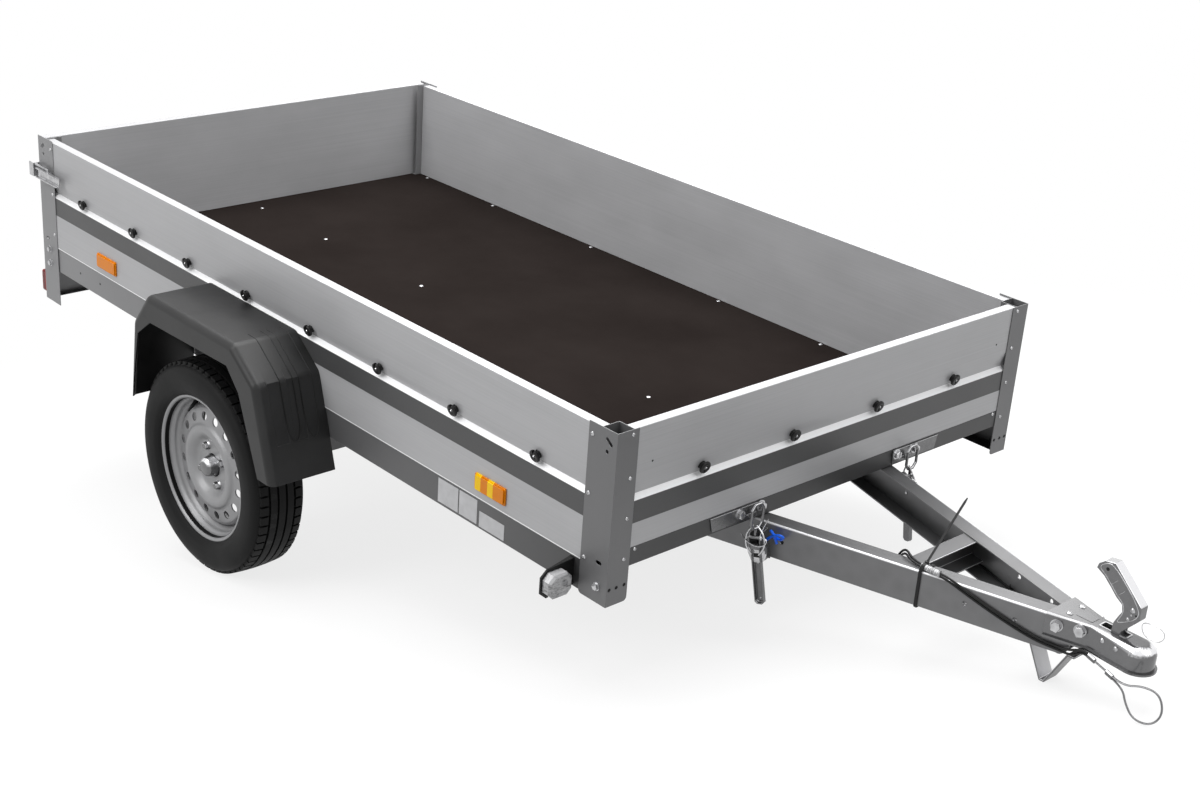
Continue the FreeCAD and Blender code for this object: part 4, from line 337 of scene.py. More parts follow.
# Finishes
class Finish:
    """A node material that reads places in the level trailer."""

    def __init__(self, name, colour, roughness, metallic=0.0):
        self.material = bpy.data.materials.new(name)
        self.material.use_nodes = True
        self.tree = self.material.node_tree
        self.tree.nodes.clear()
        self.shader = self.make("ShaderNodeBsdfPrincipled")
        self.out = self.make("ShaderNodeOutputMaterial")
        self.link(self.shader.outputs[0], self.out.inputs[0])
        self.shader.inputs["Base Color"].default_value = (*colour, 1)
        self.shader.inputs["Roughness"].default_value = roughness
        self.shader.inputs["Metallic"].default_value = metallic
        coordinates = self.make("ShaderNodeTexCoord")
        mapping = self.make("ShaderNodeMapping")
        mapping.vector_type = "POINT"
        mapping.inputs["Rotation"].default_value = LEVEL.to_euler()
        mapping.inputs["Location"].default_value = LEVEL.to_translation()
        self.link(coordinates.outputs["Object"], mapping.inputs["Vector"])
        self.place = mapping.outputs["Vector"]
        self.bump_height = None

    def make(self, kind):
        return self.tree.nodes.new(kind)

    def link(self, start, end):
        self.tree.links.new(start, end)

    def texture(self, kind, scale, stretch):
        """A texture of the place in the level trailer, stretched along its axes."""
        stretched = self.make("ShaderNodeVectorMath")
        stretched.operation = "MULTIPLY"
        stretched.inputs[1].default_value = stretch
        self.link(self.place, stretched.inputs[0])
        texture = self.make(kind)
        texture.inputs["Scale"].default_value = scale
        self.link(stretched.outputs[0], texture.inputs["Vector"])
        return texture

    def noise(self, scale, detail=3.0, stretch=(1, 1, 1)):
        texture = self.texture("ShaderNodeTexNoise", scale, stretch)
        texture.inputs["Detail"].default_value = detail
        texture.inputs["Roughness"].default_value = 0.55
        return texture.outputs["Fac"]

    def cells(self, scale, stretch=(1, 1, 1)):
        return self.texture("ShaderNodeTexVoronoi", scale, stretch).outputs["Distance"]

    def axis(self, name):
        split = self.make("ShaderNodeSeparateXYZ")
        self.link(self.place, split.inputs[0])
        return split.outputs[name]

    def upward(self):
        """How far a face looks up: 0 on upright faces and 1 on level ones."""
        coordinates = self.make("ShaderNodeTexCoord")
        split = self.make("ShaderNodeSeparateXYZ")
        self.link(coordinates.outputs["Normal"], split.inputs[0])
        return split.outputs["Z"]

    def maths(self, operation, first, second=None):
        step = self.make("ShaderNodeMath")
        step.operation = operation
        for socket, value in zip(step.inputs, (first, second)):
            if value is None:
                continue
            if isinstance(value, (int, float)):
                socket.default_value = value
            else:
                self.link(value, socket)
        return step.outputs[0]

    def times(self, first, second):
        return self.maths("MULTIPLY", first, second)

    def larger(self, first, second):
        return self.maths("MAXIMUM", first, second)

    def weighted(self, first, share, second, other_share):
        """Two patterns added up by their shares."""
        return self.maths("ADD", self.times(first, share), self.times(second, other_share))

    def rise(self, value, low, high, start=0.0, end=1.0):
        """Goes from start to end as a value goes from low to high."""
        spread = self.make("ShaderNodeMapRange")
        spread.inputs["From Min"].default_value = low
        spread.inputs["From Max"].default_value = high
        spread.inputs["To Min"].default_value = start
        spread.inputs["To Max"].default_value = end
        self.link(value, spread.inputs["Value"])
        return spread.outputs["Result"]

    def between(self, value, low, high, soft=0.0004):
        """1 where a value lies between two limits, with soft edges."""
        fall = self.rise(value, high - soft, high + soft)
        return self.times(self.rise(value, low - soft, low + soft), self.maths("SUBTRACT", 1.0, fall))

    def ramp(self, value, stops):
        """A colour ramp: stops are pairs of place and colour."""
        ramp = self.make("ShaderNodeValToRGB")
        elements = ramp.color_ramp.elements
        while len(elements) < len(stops):
            elements.new(0.5)
        for element, (place, colour) in zip(elements, stops):
            element.position = place
            element.color = (*colour, 1)
        self.link(value, ramp.inputs["Fac"])
        return ramp.outputs["Color"]

    def greys(self, value, *stops):
        """A ramp of greys: stops are pairs of place and level."""
        return self.ramp(value, [(place, grey(level)) for place, level in stops])

    def mix(self, share, first, second):
        blend = self.make("ShaderNodeMix")
        blend.data_type = "RGBA"
        if isinstance(share, (int, float)):
            blend.inputs["Factor"].default_value = share
        else:
            self.link(share, blend.inputs["Factor"])
        for socket, colour in ((blend.inputs[6], first), (blend.inputs[7], second)):
            if isinstance(colour, tuple):
                socket.default_value = (*colour, 1)
            else:
                self.link(colour, socket)
        return blend.outputs[2]

    def colour(self, socket):
        self.link(socket, self.shader.inputs["Base Color"])

    def roughness(self, value, low, high):
        self.link(self.rise(value, 0.3, 0.7, low, high), self.shader.inputs["Roughness"])

    def bump(self, height, strength, distance):
        relief = self.make("ShaderNodeBump")
        relief.inputs["Strength"].default_value = strength
        relief.inputs["Distance"].default_value = distance
        self.link(height, relief.inputs["Height"])
        if self.bump_height is not None:
            self.link(self.bump_height, relief.inputs["Normal"])
        self.bump_height = relief.outputs["Normal"]
        self.link(self.bump_height, self.shader.inputs["Normal"])


def grey(level):
    """A very slightly cool grey."""
    return (level, level, level * 1.02)


def panel_finish():
    """Zinc-coated sheet with faint rolled lines, the dark stripe round the outside and painted highlights.
    """
    finish = Finish("zinc_panel", grey(0.43), 0.45, 0.15)
    lines = finish.noise(1.0, 2.0, (1.2, 1.2, 420))
    cloud = finish.noise(5.0, 4.0, (1, 1, 2.2))
    sheet = finish.greys(finish.weighted(lines, 0.5, cloud, 0.5), (0.3, 0.41), (0.7, 0.48))
    along, height = finish.axis("X"), finish.axis("Z")
    aside = finish.maths("ABSOLUTE", finish.axis("Y"))

    # The stripe, on the outer faces only
    outer_side = finish.rise(aside, HALF_WIDTH - 0.006, HALF_WIDTH - 0.004)
    outer_front = finish.rise(along, -0.007, -0.005)
    outer_rear = finish.rise(along, -BOX_LENGTH + 0.005, -BOX_LENGTH + 0.003)
    outside = finish.larger(outer_side, finish.larger(outer_front, outer_rear))
    band = finish.times(finish.between(height, STRIPE_FOOT, STRIPE_TOP - 0.0002), outside)
    fine = finish.noise(900.0, 1.0)
    stripe = finish.greys(fine, (0.35, 0.060), (0.65, 0.072))

    # Painted highlight: the ledge under the groove and the lower lip's edge are painted near white
    ledge_side = finish.rise(aside, PANEL_FACE - LEDGE_DEPTH - 0.002, PANEL_FACE - LEDGE_DEPTH)
    ledge_front = finish.rise(along, -LEDGE_DEPTH - 0.004, -LEDGE_DEPTH - 0.002)
    ledge = finish.between(height, STRIPE_TOP, LEDGE_TOP)
    lip = finish.between(height, LOWER_LIP - 0.0004, LOWER_LIP + 0.0032)
    bright = finish.times(finish.larger(ledge_side, ledge_front), finish.larger(ledge, lip))
    # rolled holds the near-white colour of the painted highlight
    rolled = finish.ramp(fine, [(0, grey(0.86)), (1, (1, 1, 1))])
    finish.colour(finish.mix(bright, finish.mix(band, sheet, stripe), rolled))
    finish.roughness(cloud, 0.38, 0.46)
    finish.bump(lines, 0.06, 0.0006)
    return finish.material


# How far behind the front posts the painted light on a steel may change its tone
PAINTED_LIGHT_REACH = 2.4


def steel_finish(name, level, roughness, metallic, spangle=26.0, spread=0.10, relief=0.05, painted_edges_and_tops=None,
                 along=None):
    """Galvanised steel: a soft spangle and fine scratches.

    Its last two arguments paint light: levels of a painted highlight on sloping faces and of a painted
    tone on level tops, and places and shares of the level down the trailer's length, as painted light.
    """
    finish = Finish(name, grey(level), roughness, metallic)
    cloud = finish.noise(7.0, 5.0)
    shade = finish.weighted(finish.cells(spangle), 0.35, cloud, 0.65)
    tone = finish.greys(shade, (0.25, level * (1 - spread)), (0.65, level * (1 + spread)))
    # Painted light: the tone is scaled by place down the trailer's length
    if along:
        share = finish.rise(finish.axis("X"), -PAINTED_LIGHT_REACH, 0.0)
        stops = [(1 + place / PAINTED_LIGHT_REACH, level * part) for place, part in along]
        tone = finish.mix(0.85, tone, finish.greys(share, *stops))
    # Painted highlight on sloping faces and rounded edges, and a painted tone on level tops, by which way a
    # face looks
    if painted_edges_and_tops:
        edge, top = painted_edges_and_tops
        up = finish.upward()
        painted_edge_highlight = finish.greys(up, (0.12, 0), (0.40, 1), (0.88, 1), (0.96, 0))
        tone = finish.mix(painted_edge_highlight, tone, grey(edge))
        tone = finish.mix(finish.greys(up, (0.93, 0), (0.98, 1)), tone, grey(top))
    finish.colour(tone)
    finish.roughness(cloud, roughness - 0.05, roughness + 0.06)
    finish.bump(finish.noise(60.0, 2.0, (0.25, 4, 4)), relief, 0.0004)
    return finish.material


def rubber_finish(name, level, roughness, grain, relief, sheen=0.5):
    """Rubber or moulded plastic: a fine grain with a little dust on it."""
    finish = Finish(name, grey(level), roughness)
    finish.shader.inputs["Specular IOR Level"].default_value = sheen
    dust = finish.noise(14.0, 5.0)
    finish.colour(finish.greys(dust, (0.35, level * 0.85), (0.7, level * 1.25)))
    finish.roughness(dust, roughness - 0.06, roughness + 0.06)
    finish.bump(finish.noise(grain, 2.0), relief, 0.0003)
    return finish.material


def plywood_finish():
    """Dark brown film over plywood, with the film's fine mesh pressed in."""
    finish = Finish("film_face", (0.018, 0.0145, 0.0135), 0.55)
    finish.shader.inputs["Specular IOR Level"].default_value = 0.0
    cloud = finish.noise(3.0, 5.0)
    finish.colour(finish.ramp(cloud, [(0.3, (0.015, 0.0118, 0.0108)), (0.7, (0.021, 0.0168, 0.0155))]))
    finish.roughness(cloud, 0.42, 0.52)
    finish.bump(finish.noise(260.0, 2.0), 0.25, 0.0004)
    waves = [finish.maths("SINE", finish.times(finish.axis(axis), 1600.0)) for axis in ("X", "Y")]
    finish.bump(finish.times(*waves), 0.10, 0.0003)
    return finish.material


def silver_paint():
    finish = Finish("silver_paint", grey(0.30), 0.36, 0.35)
    cloud = finish.noise(9.0, 4.0)
    finish.colour(finish.greys(cloud, (0.3, 0.27), (0.7, 0.33)))
    finish.roughness(cloud, 0.36, 0.46)
    finish.bump(finish.noise(1400.0, 1.0), 0.05, 0.0002)
    return finish.material


def lens_finish(name, deep, bright, pitch, start=0.0, plain=()):
    """A reflective lens of small prisms: a bright and a deep band in each pitch, all deep where plain."""
    finish = Finish(name, bright, 0.2)
    finish.shader.inputs["Specular IOR Level"].default_value = 0.2
    along = finish.axis("X")
    turn = finish.times(finish.maths("SUBTRACT", along, start), 2 * math.pi / pitch)
    bands = finish.rise(finish.maths("COSINE", turn), 0.10, 0.22, 0.0, 0.7)
    for low, high in plain:
        bands = finish.times(bands, finish.maths("SUBTRACT", 1.0, finish.between(along, low, high)))
    cells = finish.cells(520.0)
    finish.colour(finish.ramp(finish.weighted(bands, 1.0, cells, 0.3), [(0.20, deep), (0.75, bright)]))
    finish.bump(cells, 0.5, 0.0006)
    return finish.material


def clear_lens_finish():
    """A clear lens over a bright reflector, as streaks and small facets; its rim has a painted highlight.
    """
    finish = Finish("clear_lens", (0.4, 0.41, 0.42), 0.10)
    finish.shader.inputs["Coat Weight"].default_value = 0.8
    facets = finish.cells(150.0, (1, 1, 1.4))
    shade = finish.weighted(finish.noise(60.0, 3.0, (1, 0.5, 2.2)), 0.8, facets, 0.25)
    glass = finish.greys(shade, (0.38, 0.13), (0.48, 0.26), (0.58, 0.42))
    # Painted highlight: faces that look up are painted pale
    finish.colour(finish.mix(finish.rise(finish.upward(), 0.10, 0.35), glass, grey(0.45)))
    finish.bump(facets, 0.35, 0.0008)
    return finish.material


def bare_label_finish():
    finish = Finish("bare_label", grey(0.55), 0.5)
    finish.colour(finish.greys(finish.noise(40.0, 2.0), (0.3, 0.52), (0.7, 0.60)))
    finish.bump(finish.noise(700.0, 1.0), 0.05, 0.0002)
    return finish.material


def blue_plastic():
    finish = Finish("blue_plastic", (0.0, 0.13, 0.86), 0.35)
    cloud = finish.noise(60.0, 2.0)
    finish.colour(finish.ramp(cloud, [(0.3, (0.0, 0.12, 0.80)), (0.7, (0.0, 0.15, 0.95))]))
    finish.bump(finish.noise(900.0, 1.0), 0.05, 0.0002)
    return finish.material


def wrap_finish():
    """Thin wound film, with painted highlights where it creases."""
    finish = Finish("wound_film", grey(0.45), 0.16)
    finish.shader.inputs["Coat Weight"].default_value = 0.7
    creases = finish.noise(60.0, 3.0, (6, 1, 1))
    # Painted highlight: the creases are painted bright
    finish.colour(finish.greys(creases, (0.40, 0.10), (0.55, 0.50), (0.70, 0.85)))
    finish.bump(creases, 0.6, 0.0010)
    return finish.material


# The front reflector is plain amber past its second band, and the rear one all over
AMBER_PLAIN = [(REFLECTOR_X[0] + 0.032, REFLECTOR_X[0] + 0.051),
               (REFLECTOR_X[1] - 0.051, REFLECTOR_X[1] + 0.051)]

PANEL = panel_finish()
# Posts and frame carry painted light that makes them lighter towards the rear
POST_STEEL = steel_finish("post_steel", 0.155, 0.42, 0.3, along=[(-2.2, 1.75), (-1.0, 1.0)])
FRAME_STEEL = steel_finish("frame_steel", 0.07, 0.44, 0.3,
                           along=[(-2.2, 4.0), (-1.0, 2.2), (-0.35, 1.5), (-0.05, 0.75)])
ARM_STEEL = steel_finish("arm_steel", 0.175, 0.38, 0.4, spangle=32, painted_edges_and_tops=(0.85, 0.15))
BRIGHT_ZINC = steel_finish("bright_zinc", 0.16, 0.22, 0.75, spangle=90, spread=0.06, relief=0.02,
                           painted_edges_and_tops=(0.85, 0.155))
BOLT_ZINC = steel_finish("bolt_zinc", 0.46, 0.20, 0.8, spangle=90, spread=0.25, relief=0.02)
PLATED_LATCH = steel_finish("plated_latch", 0.15, 0.26, 0.7, spangle=90, spread=0.15, relief=0.03,
                            painted_edges_and_tops=(0.75, 0.30))
ROPE_WIRE = steel_finish("rope_wire", 0.26, 0.32, 0.75, spangle=200, spread=0.12, relief=0.0)
PLYWOOD = plywood_finish()
SILVER = silver_paint()
GUARD_PLASTIC = rubber_finish("guard_plastic", 0.012, 0.42, 700.0, 0.10, 0.35)
TYRE_RUBBER = rubber_finish("tyre_rubber", 0.006, 0.60, 500.0, 0.25, 0.15)
BLACK_RUBBER = rubber_finish("black_rubber", 0.007, 0.40, 900.0, 0.08, 0.25)
TIE_GREY = rubber_finish("tie_tail_grey", 0.030, 0.40, 900.0, 0.05)
AMBER = lens_finish("amber_lens", (0.78, 0.23, 0.0005), (1.0, 0.62, 0.0), 0.0402, -0.4000, AMBER_PLAIN)
RED = lens_finish("red_lens", (0.14, 0.004, 0.004), (0.45, 0.02, 0.015), 0.03)
CLEAR = clear_lens_finish()
LABEL = bare_label_finish()
BLUE = blue_plastic()
WRAP = wrap_finish()


# Sheet metal and castings, in the shapes of their nodes
def rolled_arm(node):
    """A drawbar arm with its long outside corners rolled to a wider round than its cut edges."""
    shortest, least_area, roll = 0.3, 0.015, 0.0042
    arm = node_copy(node)
    corners = [edge for edge in arm.edges
               if len(edge.link_faces) == 2 and edge.is_convex and edge.calc_length() > shortest
               and min(face.calc_area() for face in edge.link_faces) > least_area]
    bmesh.ops.bevel(arm, geom=corners, offset=roll, segments=4, profile=0.5, affect="EDGES", material=-1,
                    clamp_overlap=False)
    piece = park_and_link(node + "_finish", arm, ARM_STEEL, "drawbar", [node])
    add_bevel(piece, 0.0005, 1)


def load_box():
    softened(both("side_panel") + ["front_panel"], PANEL, "load_box", 0.0012)
    softened(["tailgate_panel"], PANEL, "tailgate", 0.0012)
    softened(["floor"], PLYWOOD, "load_box", 0.0006)
    frame_nodes = both("side_frame") + ["front_crossmember", "rear_lamp_board", "floor_bearers"]
    axle_nodes = ["axle_beam", "axle_brackets", "pivot_plates"] + both("swing_arm")
    softened(frame_nodes + axle_nodes, FRAME_STEEL, "load_box", 0.0007)
    softened(both("front_post") + both("rear_post"), POST_STEEL, "load_box", 0.0007)


def drawbar():
    for node in both("drawbar_arm"):
        rolled_arm(node)
    softened(["drawbar_brace", "stand_foot"], ARM_STEEL, "drawbar", 0.0010)
    softened(["box_buffers"], BLACK_RUBBER, "drawbar", 0.0005)
    softened(["pivot_pins"], BRIGHT_ZINC, "load_box", 0.0008)


def small_nodes():
    softened(["hinge_seats"], BRIGHT_ZINC, "load_box", 0.0006)
    softened(["tailgate_hinges"], BRIGHT_ZINC, "tailgate", 0.0006)
    softened(both("mudguard"), GUARD_PLASTIC, "load_box", 0.0022, 3, smooth=24, angle=20)
    softened(["coupling_head"], BRIGHT_ZINC, "drawbar", 0.0018, 3, smooth=40)
    softened(["coupling_handle"], BRIGHT_ZINC, "drawbar", 0.0035, 4)
    softened(["latch_bases", "latch_levers"], PLATED_LATCH, "drawbar", 0.0008)
    softened(["latch_rings"], BRIGHT_ZINC, "drawbar", 0.0022, 3, smooth=50)
    softened(["latch_brackets"], PLATED_LATCH, "load_box", 0.0006)
    softened(["tailgate_latches"], BOLT_ZINC, "load_box", 0.0008)
    softened(["tailgate_catches"], BOLT_ZINC, "tailgate", 0.0006)
    softened(["rope_sleeve_rear", "rope_sleeve_front"], PLATED_LATCH, "drawbar", 0.0008)
    softened(["marker_lamp_arms"], BLACK_RUBBER, "load_box", 0.0010)


load_box()
drawbar()
small_nodes()

# Each flute's edge line on the mudguard, from the top plate over the bend and down the front,
# as distances ahead of the wheel's middle and above it. The foot's last number is its share of
# the way across the flute.
FLUTE_LINE = [(0.150, 0.389), (0.176, 0.389), (0.186, 0.3874), (0.194, 0.3832), (0.2729, 0.3259),
              (0.2800, 0.3185), (0.2839, 0.3104), (0.3150, 0.2086)]
FLUTE_FOOT = [(0.3196, 0.1935, 0.15), (0.3224, 0.1845, 0.32), (0.3233, 0.1815, 0.5)]
FLUTE_STARTS, FLUTE_WIDTH, GUARD_FACE_Y = (0.068, 0.118), 0.034, 0.822


def flute_shade_lines():
    """Dark round bars along the pressed flutes' sharp edges, painting the shade line at each edge."""
    down = [(ahead, above, 0.0) for ahead, above in FLUTE_LINE] + FLUTE_FOOT
    back = [(ahead, above, 1 - share) for ahead, above, share in down[::-1][1:]]
    meshes = []
    for start in FLUTE_STARTS:
        points = [(WHEEL.x + ahead, start - GUARD_FACE_Y + share * FLUTE_WIDTH, WHEEL.z + above)
                  for ahead, above, share in down + back]
        meshes.append(bar(points, 0.0012))
    return twinned(joined(meshes))


# Painted shade: black bars along the flutes' edges
park_and_link("mudguard_flute_shade_lines", flute_shade_lines(), BLACK_RUBBER, "load_box")

# Wheels, turned about the y axis with outboard towards -y: profiles of (radius, place along the axle)
TREAD_PITCHES = 64
TREAD_DEPTH = 0.0065
TREAD_HALF = 0.056
CROWN_DROP = 0.0032
GROOVE_HALF = 0.0028
GROOVES = (-0.034, -0.0115, 0.0115, 0.034)
BLOCK_SHARE = 0.80
TYRE_WALL = [(0.2520, 0.0660), (0.2400, 0.0718), (0.2200, 0.0735), (0.1980, 0.0705), (0.1880, 0.0645),
             (0.1842, 0.0600), (0.1765, 0.0575), (0.1725, 0.0540)]
RIM_SHEET = 0.0032
RIM_BARREL = [(0.1826, -0.0560), (0.1818, -0.0600), (0.1775, -0.0600), (0.1735, -0.0560),
              (0.1722, -0.0400), (0.1655, -0.0345), (0.1635, -0.0270), (0.1540, -0.0160),
              (0.1520, 0.0060), (0.1640, 0.0240), (0.1712, 0.0330), (0.1730, 0.0560),
              (0.1775, 0.0600), (0.1818, 0.0600), (0.1826, 0.0560)]
RIM_DISC = [(0.1535, -0.0120), (0.1500, -0.0230), (0.1440, -0.0290), (0.1080, -0.0340), (0.1010, -0.0420),
            (0.0880, -0.0440), (0.0760, -0.0380), (0.0660, -0.0270), (0.0590, -0.0240), (0.0290, -0.0240),
            (0.0280, -0.0200)]
VENT_COUNT, VENT_CIRCLE, VENT_RADIUS, VENT_PLACE = 16, 0.1255, 0.0108, -0.034
HUB_CAP = [(0, -0.0520), (0.0170, -0.0505), (0.0235, -0.0450), (0.0262, -0.0300), (0.0262, -0.0170),
           (0.0600, -0.0170), (0.0600, -0.0070), (0.0380, -0.0070), (0.0380, 0.0770), (0.0150, 0.0770)]
BOLT_COUNT, BOLT_CIRCLE, BOLT_PLACE, BOLT_START = 4, 0.050, -0.0238, math.radians(27)
BOLT_CONE = [(0, 0.0), (0.0125, 0.0), (0.0098, 0.004), (0.0, 0.004)]
VALVE = [(0, 0.034), (0.0028, 0.034), (0.0032, 0.022), (0.0042, 0.020), (0.0058, 0.004), (0.0068, 0),
         (0.0, -0.002)]
VALVE_CIRCLE, VALVE_PLACE, VALVE_TURN = 0.160, -0.022, math.radians(118)


def on_circle(radius, along, turn):
    return (radius * math.cos(turn), along, radius * math.sin(turn))


def crown(along):
    """The tread's radius across its width: a little lower towards the shoulders."""
    return TYRE_RADIUS - CROWN_DROP * (along / TREAD_HALF) ** 2


def tyre_outline():
    """The closed section of a tyre without its tread blocks."""
    edges = [-TREAD_HALF]
    for groove in GROOVES:
        edges += [groove - GROOVE_HALF, groove + GROOVE_HALF]
    edges.append(TREAD_HALF)
    tread = []
    for first, last in zip(edges, edges[1:]):
        tread += [first, (first + last) / 2]
    base = [(crown(along) - TREAD_DEPTH, along) for along in tread[1:]]
    shoulder = (crown(TREAD_HALF) - TREAD_DEPTH, TREAD_HALF + 0.0005)
    wall = rounded([shoulder] + TYRE_WALL, 0.009, 3)
    inner_wall = [(radius, -along) for radius, along in reversed(wall)]
    return inner_wall + base + wall


def tyre_shape():
    """One pitch of the tread and walls, repeated round the axle."""
    bm = bmesh.new()
    verts = [bm.verts.new((radius, along, 0)) for radius, along in tyre_outline()]
    edges = [bm.edges.new(pair) for pair in zip(verts, verts[1:] + verts[:1])]
    pitch = 2 * math.pi / TREAD_PITCHES
    block_turn = pitch * BLOCK_SHARE
    made = bmesh.ops.spin(bm, geom=verts + edges, cent=(0, 0, 0), axis=(0, 1, 0), angle=block_turn,
                          steps=2, use_duplicate=False)["geom_last"]
    bmesh.ops.spin(bm, geom=made, cent=(0, 0, 0), axis=(0, 1, 0), angle=pitch - block_turn,
                   steps=1, use_duplicate=False)
    blocks, ribs = [], []
    for face in bm.faces:
        middle = face.calc_center_median()
        turn = math.atan2(-middle.z, middle.x) % (2 * math.pi)
        on_wall = abs(middle.y) > TREAD_HALF
        below_tread = math.hypot(middle.x, middle.z) < TYRE_RADIUS - TREAD_DEPTH - 0.009
        in_groove = any(abs(middle.y - groove) < GROOVE_HALF for groove in GROOVES)
        if on_wall or below_tread or in_groove:
            continue
        if abs(middle.y) < GROOVES[-1]:
            ribs.append(face)
        elif turn < block_turn:
            blocks.append(face)
    for faces in (blocks, ribs):
        made = bmesh.ops.extrude_face_region(bm, geom=faces)["geom"]
        for vert in (item for item in made if isinstance(item, bmesh.types.BMVert)):
            radius = math.hypot(vert.co.x, vert.co.z)
            grown = (radius + TREAD_DEPTH) / radius
            vert.co.x *= grown
            vert.co.z *= grown
    geometry = list(bm.verts) + list(bm.edges) + list(bm.faces)
    bmesh.ops.spin(bm, geom=geometry, cent=(0, 0, 0), axis=(0, 1, 0), angle=2 * math.pi,
                   steps=TREAD_PITCHES, use_duplicate=True)
    bmesh.ops.remove_doubles(bm, verts=bm.verts, dist=1e-5)
    return bm


def bent_sheet(profile, radius, steps):
    """Sheet turned about the axle, with its bends rounded."""
    sheet = lathe(rounded(profile, radius, steps), 128)
    bmesh.ops.recalc_face_normals(sheet, faces=sheet.faces)
    bmesh.ops.solidify(sheet, geom=list(sheet.faces), thickness=RIM_SHEET)
    return sheet


def rim_shape():
    """The barrel, and the disc with its ring of round vents."""
    turns = [2 * math.pi * (index + 0.5) / VENT_COUNT for index in range(VENT_COUNT)]
    vent = drum(VENT_RADIUS, 0.04, 28)
    vents = joined(placed(vent, (0, 1, 0), [on_circle(VENT_CIRCLE, VENT_PLACE, turn) for turn in turns]))
    return joined([bent_sheet(RIM_BARREL, 0.005, 3), with_holes(bent_sheet(RIM_DISC, 0.006, 4), vents)])


def hub_shape():
    """The hub with its cap, and the wheel bolts in their cones."""
    bolt = joined([hexagon_head(0.017, 0.012, 0.0, 0.30), lathe(BOLT_CONE, 20)])
    turns = [2 * math.pi * index / BOLT_COUNT + BOLT_START for index in range(BOLT_COUNT)]
    bolts = placed(bolt, RIGHT, [on_circle(BOLT_CIRCLE, BOLT_PLACE, turn) for turn in turns])
    return joined([lathe(rounded(HUB_CAP, 0.003, 3), 64)] + bolts)


def valve_shape():
    """The valve, which leans in and out of the disc."""
    valve = lathe(rounded(VALVE, 0.001, 2), 16)
    leaning = on_circle(-0.55, -0.8, VALVE_TURN)
    return aimed(valve, leaning, on_circle(VALVE_CIRCLE, VALVE_PLACE, VALVE_TURN))


def wheel_pieces(side, sign):
    """A wheel's pieces at their place; the left wheel mirrors the right."""
    body = "wheel_" + side
    for name, bm, finish, slot, replaced, smooth in (
            ("tyre_" + side + "_tread", tyre_shape(), TYRE_RUBBER, "tyre_rubber", ["tyre_" + side], 30),
            ("rim_" + side + "_sheet", rim_shape(), SILVER, "wheel_silver", ["rim_" + side], 40),
            ("hub_" + side + "_cap", hub_shape(), BRIGHT_ZINC, "wheel_silver", ["hub_" + side], 40),
            ("valve_" + side, valve_shape(), BLACK_RUBBER, "tyre_rubber", (), 40)):
        if sign > 0:
            flipped(bm)
        bm.transform(Matrix.Translation((WHEEL.x, sign * WHEEL.y, WHEEL.z)))
        park_and_link(name, bm, finish, body, replaced, smooth)


wheel_pieces("right", -1)
wheel_pieces("left", 1)

# Tarp buttons in the groove round the box, with profiles of (radius, height)
BUTTON_HEIGHT = 0.2435
SIDE_BUTTON_X = [-0.230 - 0.26680 * index for index in range(8)]
FRONT_BUTTON_Y = [-0.4035, -0.1345, 0.1345, 0.4035]
GROOVE_FOOT, GROOVE_HEAD, GROOVE_DEPTH = 0.2284, 0.2656, 0.010
BUTTON_LEAN = math.atan2(GROOVE_DEPTH, GROOVE_HEAD - GROOVE_FOOT)
BUTTON_INSET = GROOVE_DEPTH * (GROOVE_HEAD - BUTTON_HEIGHT) / (GROOVE_HEAD - GROOVE_FOOT)
BUTTON_RING = [(0.0052, 0.0), (0.0098, 0.0), (0.0082, 0.0045), (0.0140, 0.0085), (0.0140, 0.0125),
               (0.0115, 0.0142), (0.0062, 0.0142), (0.0052, 0.0120)]
BUTTON_PIN = [(0, 0.0152), (0.0018, 0.0150), (0.0030, 0.0138), (0.0032, 0.0125), (0.0052, 0.0118),
              (0.0052, 0.0), (0, 0)]
BUTTON_NOTCH, NOTCH_TURN = math.radians(22), math.radians(100)


def button_ring():
    """A black ring with a rope groove round it and a notch in its rim, standing along +y."""
    ring = lathe(rounded(BUTTON_RING, 0.0012, 2, closed=True), 40, closed=True,
                 angle=2 * math.pi - BUTTON_NOTCH)
    bmesh.ops.holes_fill(ring, edges=list(ring.edges), sides=0)
    ring.transform(Matrix.Rotation(NOTCH_TURN, 4, "Y"))
    return ring


def tarp_buttons():
    """The buttons' rings and pins, along both sides and across the front."""
    down, out = -math.sin(BUTTON_LEAN), math.cos(BUTTON_LEAN)
    side = [((x, sign * (PANEL_FACE - BUTTON_INSET), BUTTON_HEIGHT), (0, sign * out, down))
            for sign in (-1, 1) for x in SIDE_BUTTON_X]
    front = [((-POST_SHEET - BUTTON_INSET, y, BUTTON_HEIGHT), (out, 0, down)) for y in FRONT_BUTTON_Y]
    for name, places in (("side", side), ("front", front)):
        rings = joined([aimed(button_ring(), outwards, place) for place, outwards in places])
        pins = joined([aimed(lathe(BUTTON_PIN, 20), outwards, place) for place, outwards in places])
        park_and_link("tarp_rings_" + name, rings, BLACK_RUBBER, "load_box",
                      ["tarp_buttons_" + name])
        park_and_link("tarp_pins_" + name, pins, BRIGHT_ZINC, "load_box")


tarp_buttons()

# Reflectors and lamps
LAMP_CENTRE, LAMP_HALF, LAMP_CORNER = (-0.699, 0.030), (0.030, 0.026), 0.013
LAMP_BACK, LAMP_FACE = -0.0995, -0.0755
LENS_PLATE, LENS_FACE, LENS_EDGE = 0.004, 0.007, 0.003


def reflectors():
    """Amber reflectors: a back plate with the lens on it, smaller by its edge."""
    meshes = []
    for x in REFLECTOR_X:
        for edge, start, end in ((0.0, 0.0, LENS_PLATE), (LENS_EDGE, LENS_PLATE, LENS_FACE)):
            low = (x - REFLECTOR_HALF + edge, REFLECTOR_FOOT + edge)
            high = (x + REFLECTOR_HALF - edge, REFLECTOR_HEAD - edge)
            meshes.append(plate(low, high, 0.004, 3, "XZ", -PANEL_FACE - start, -PANEL_FACE - end))
    return twinned(joined(meshes))


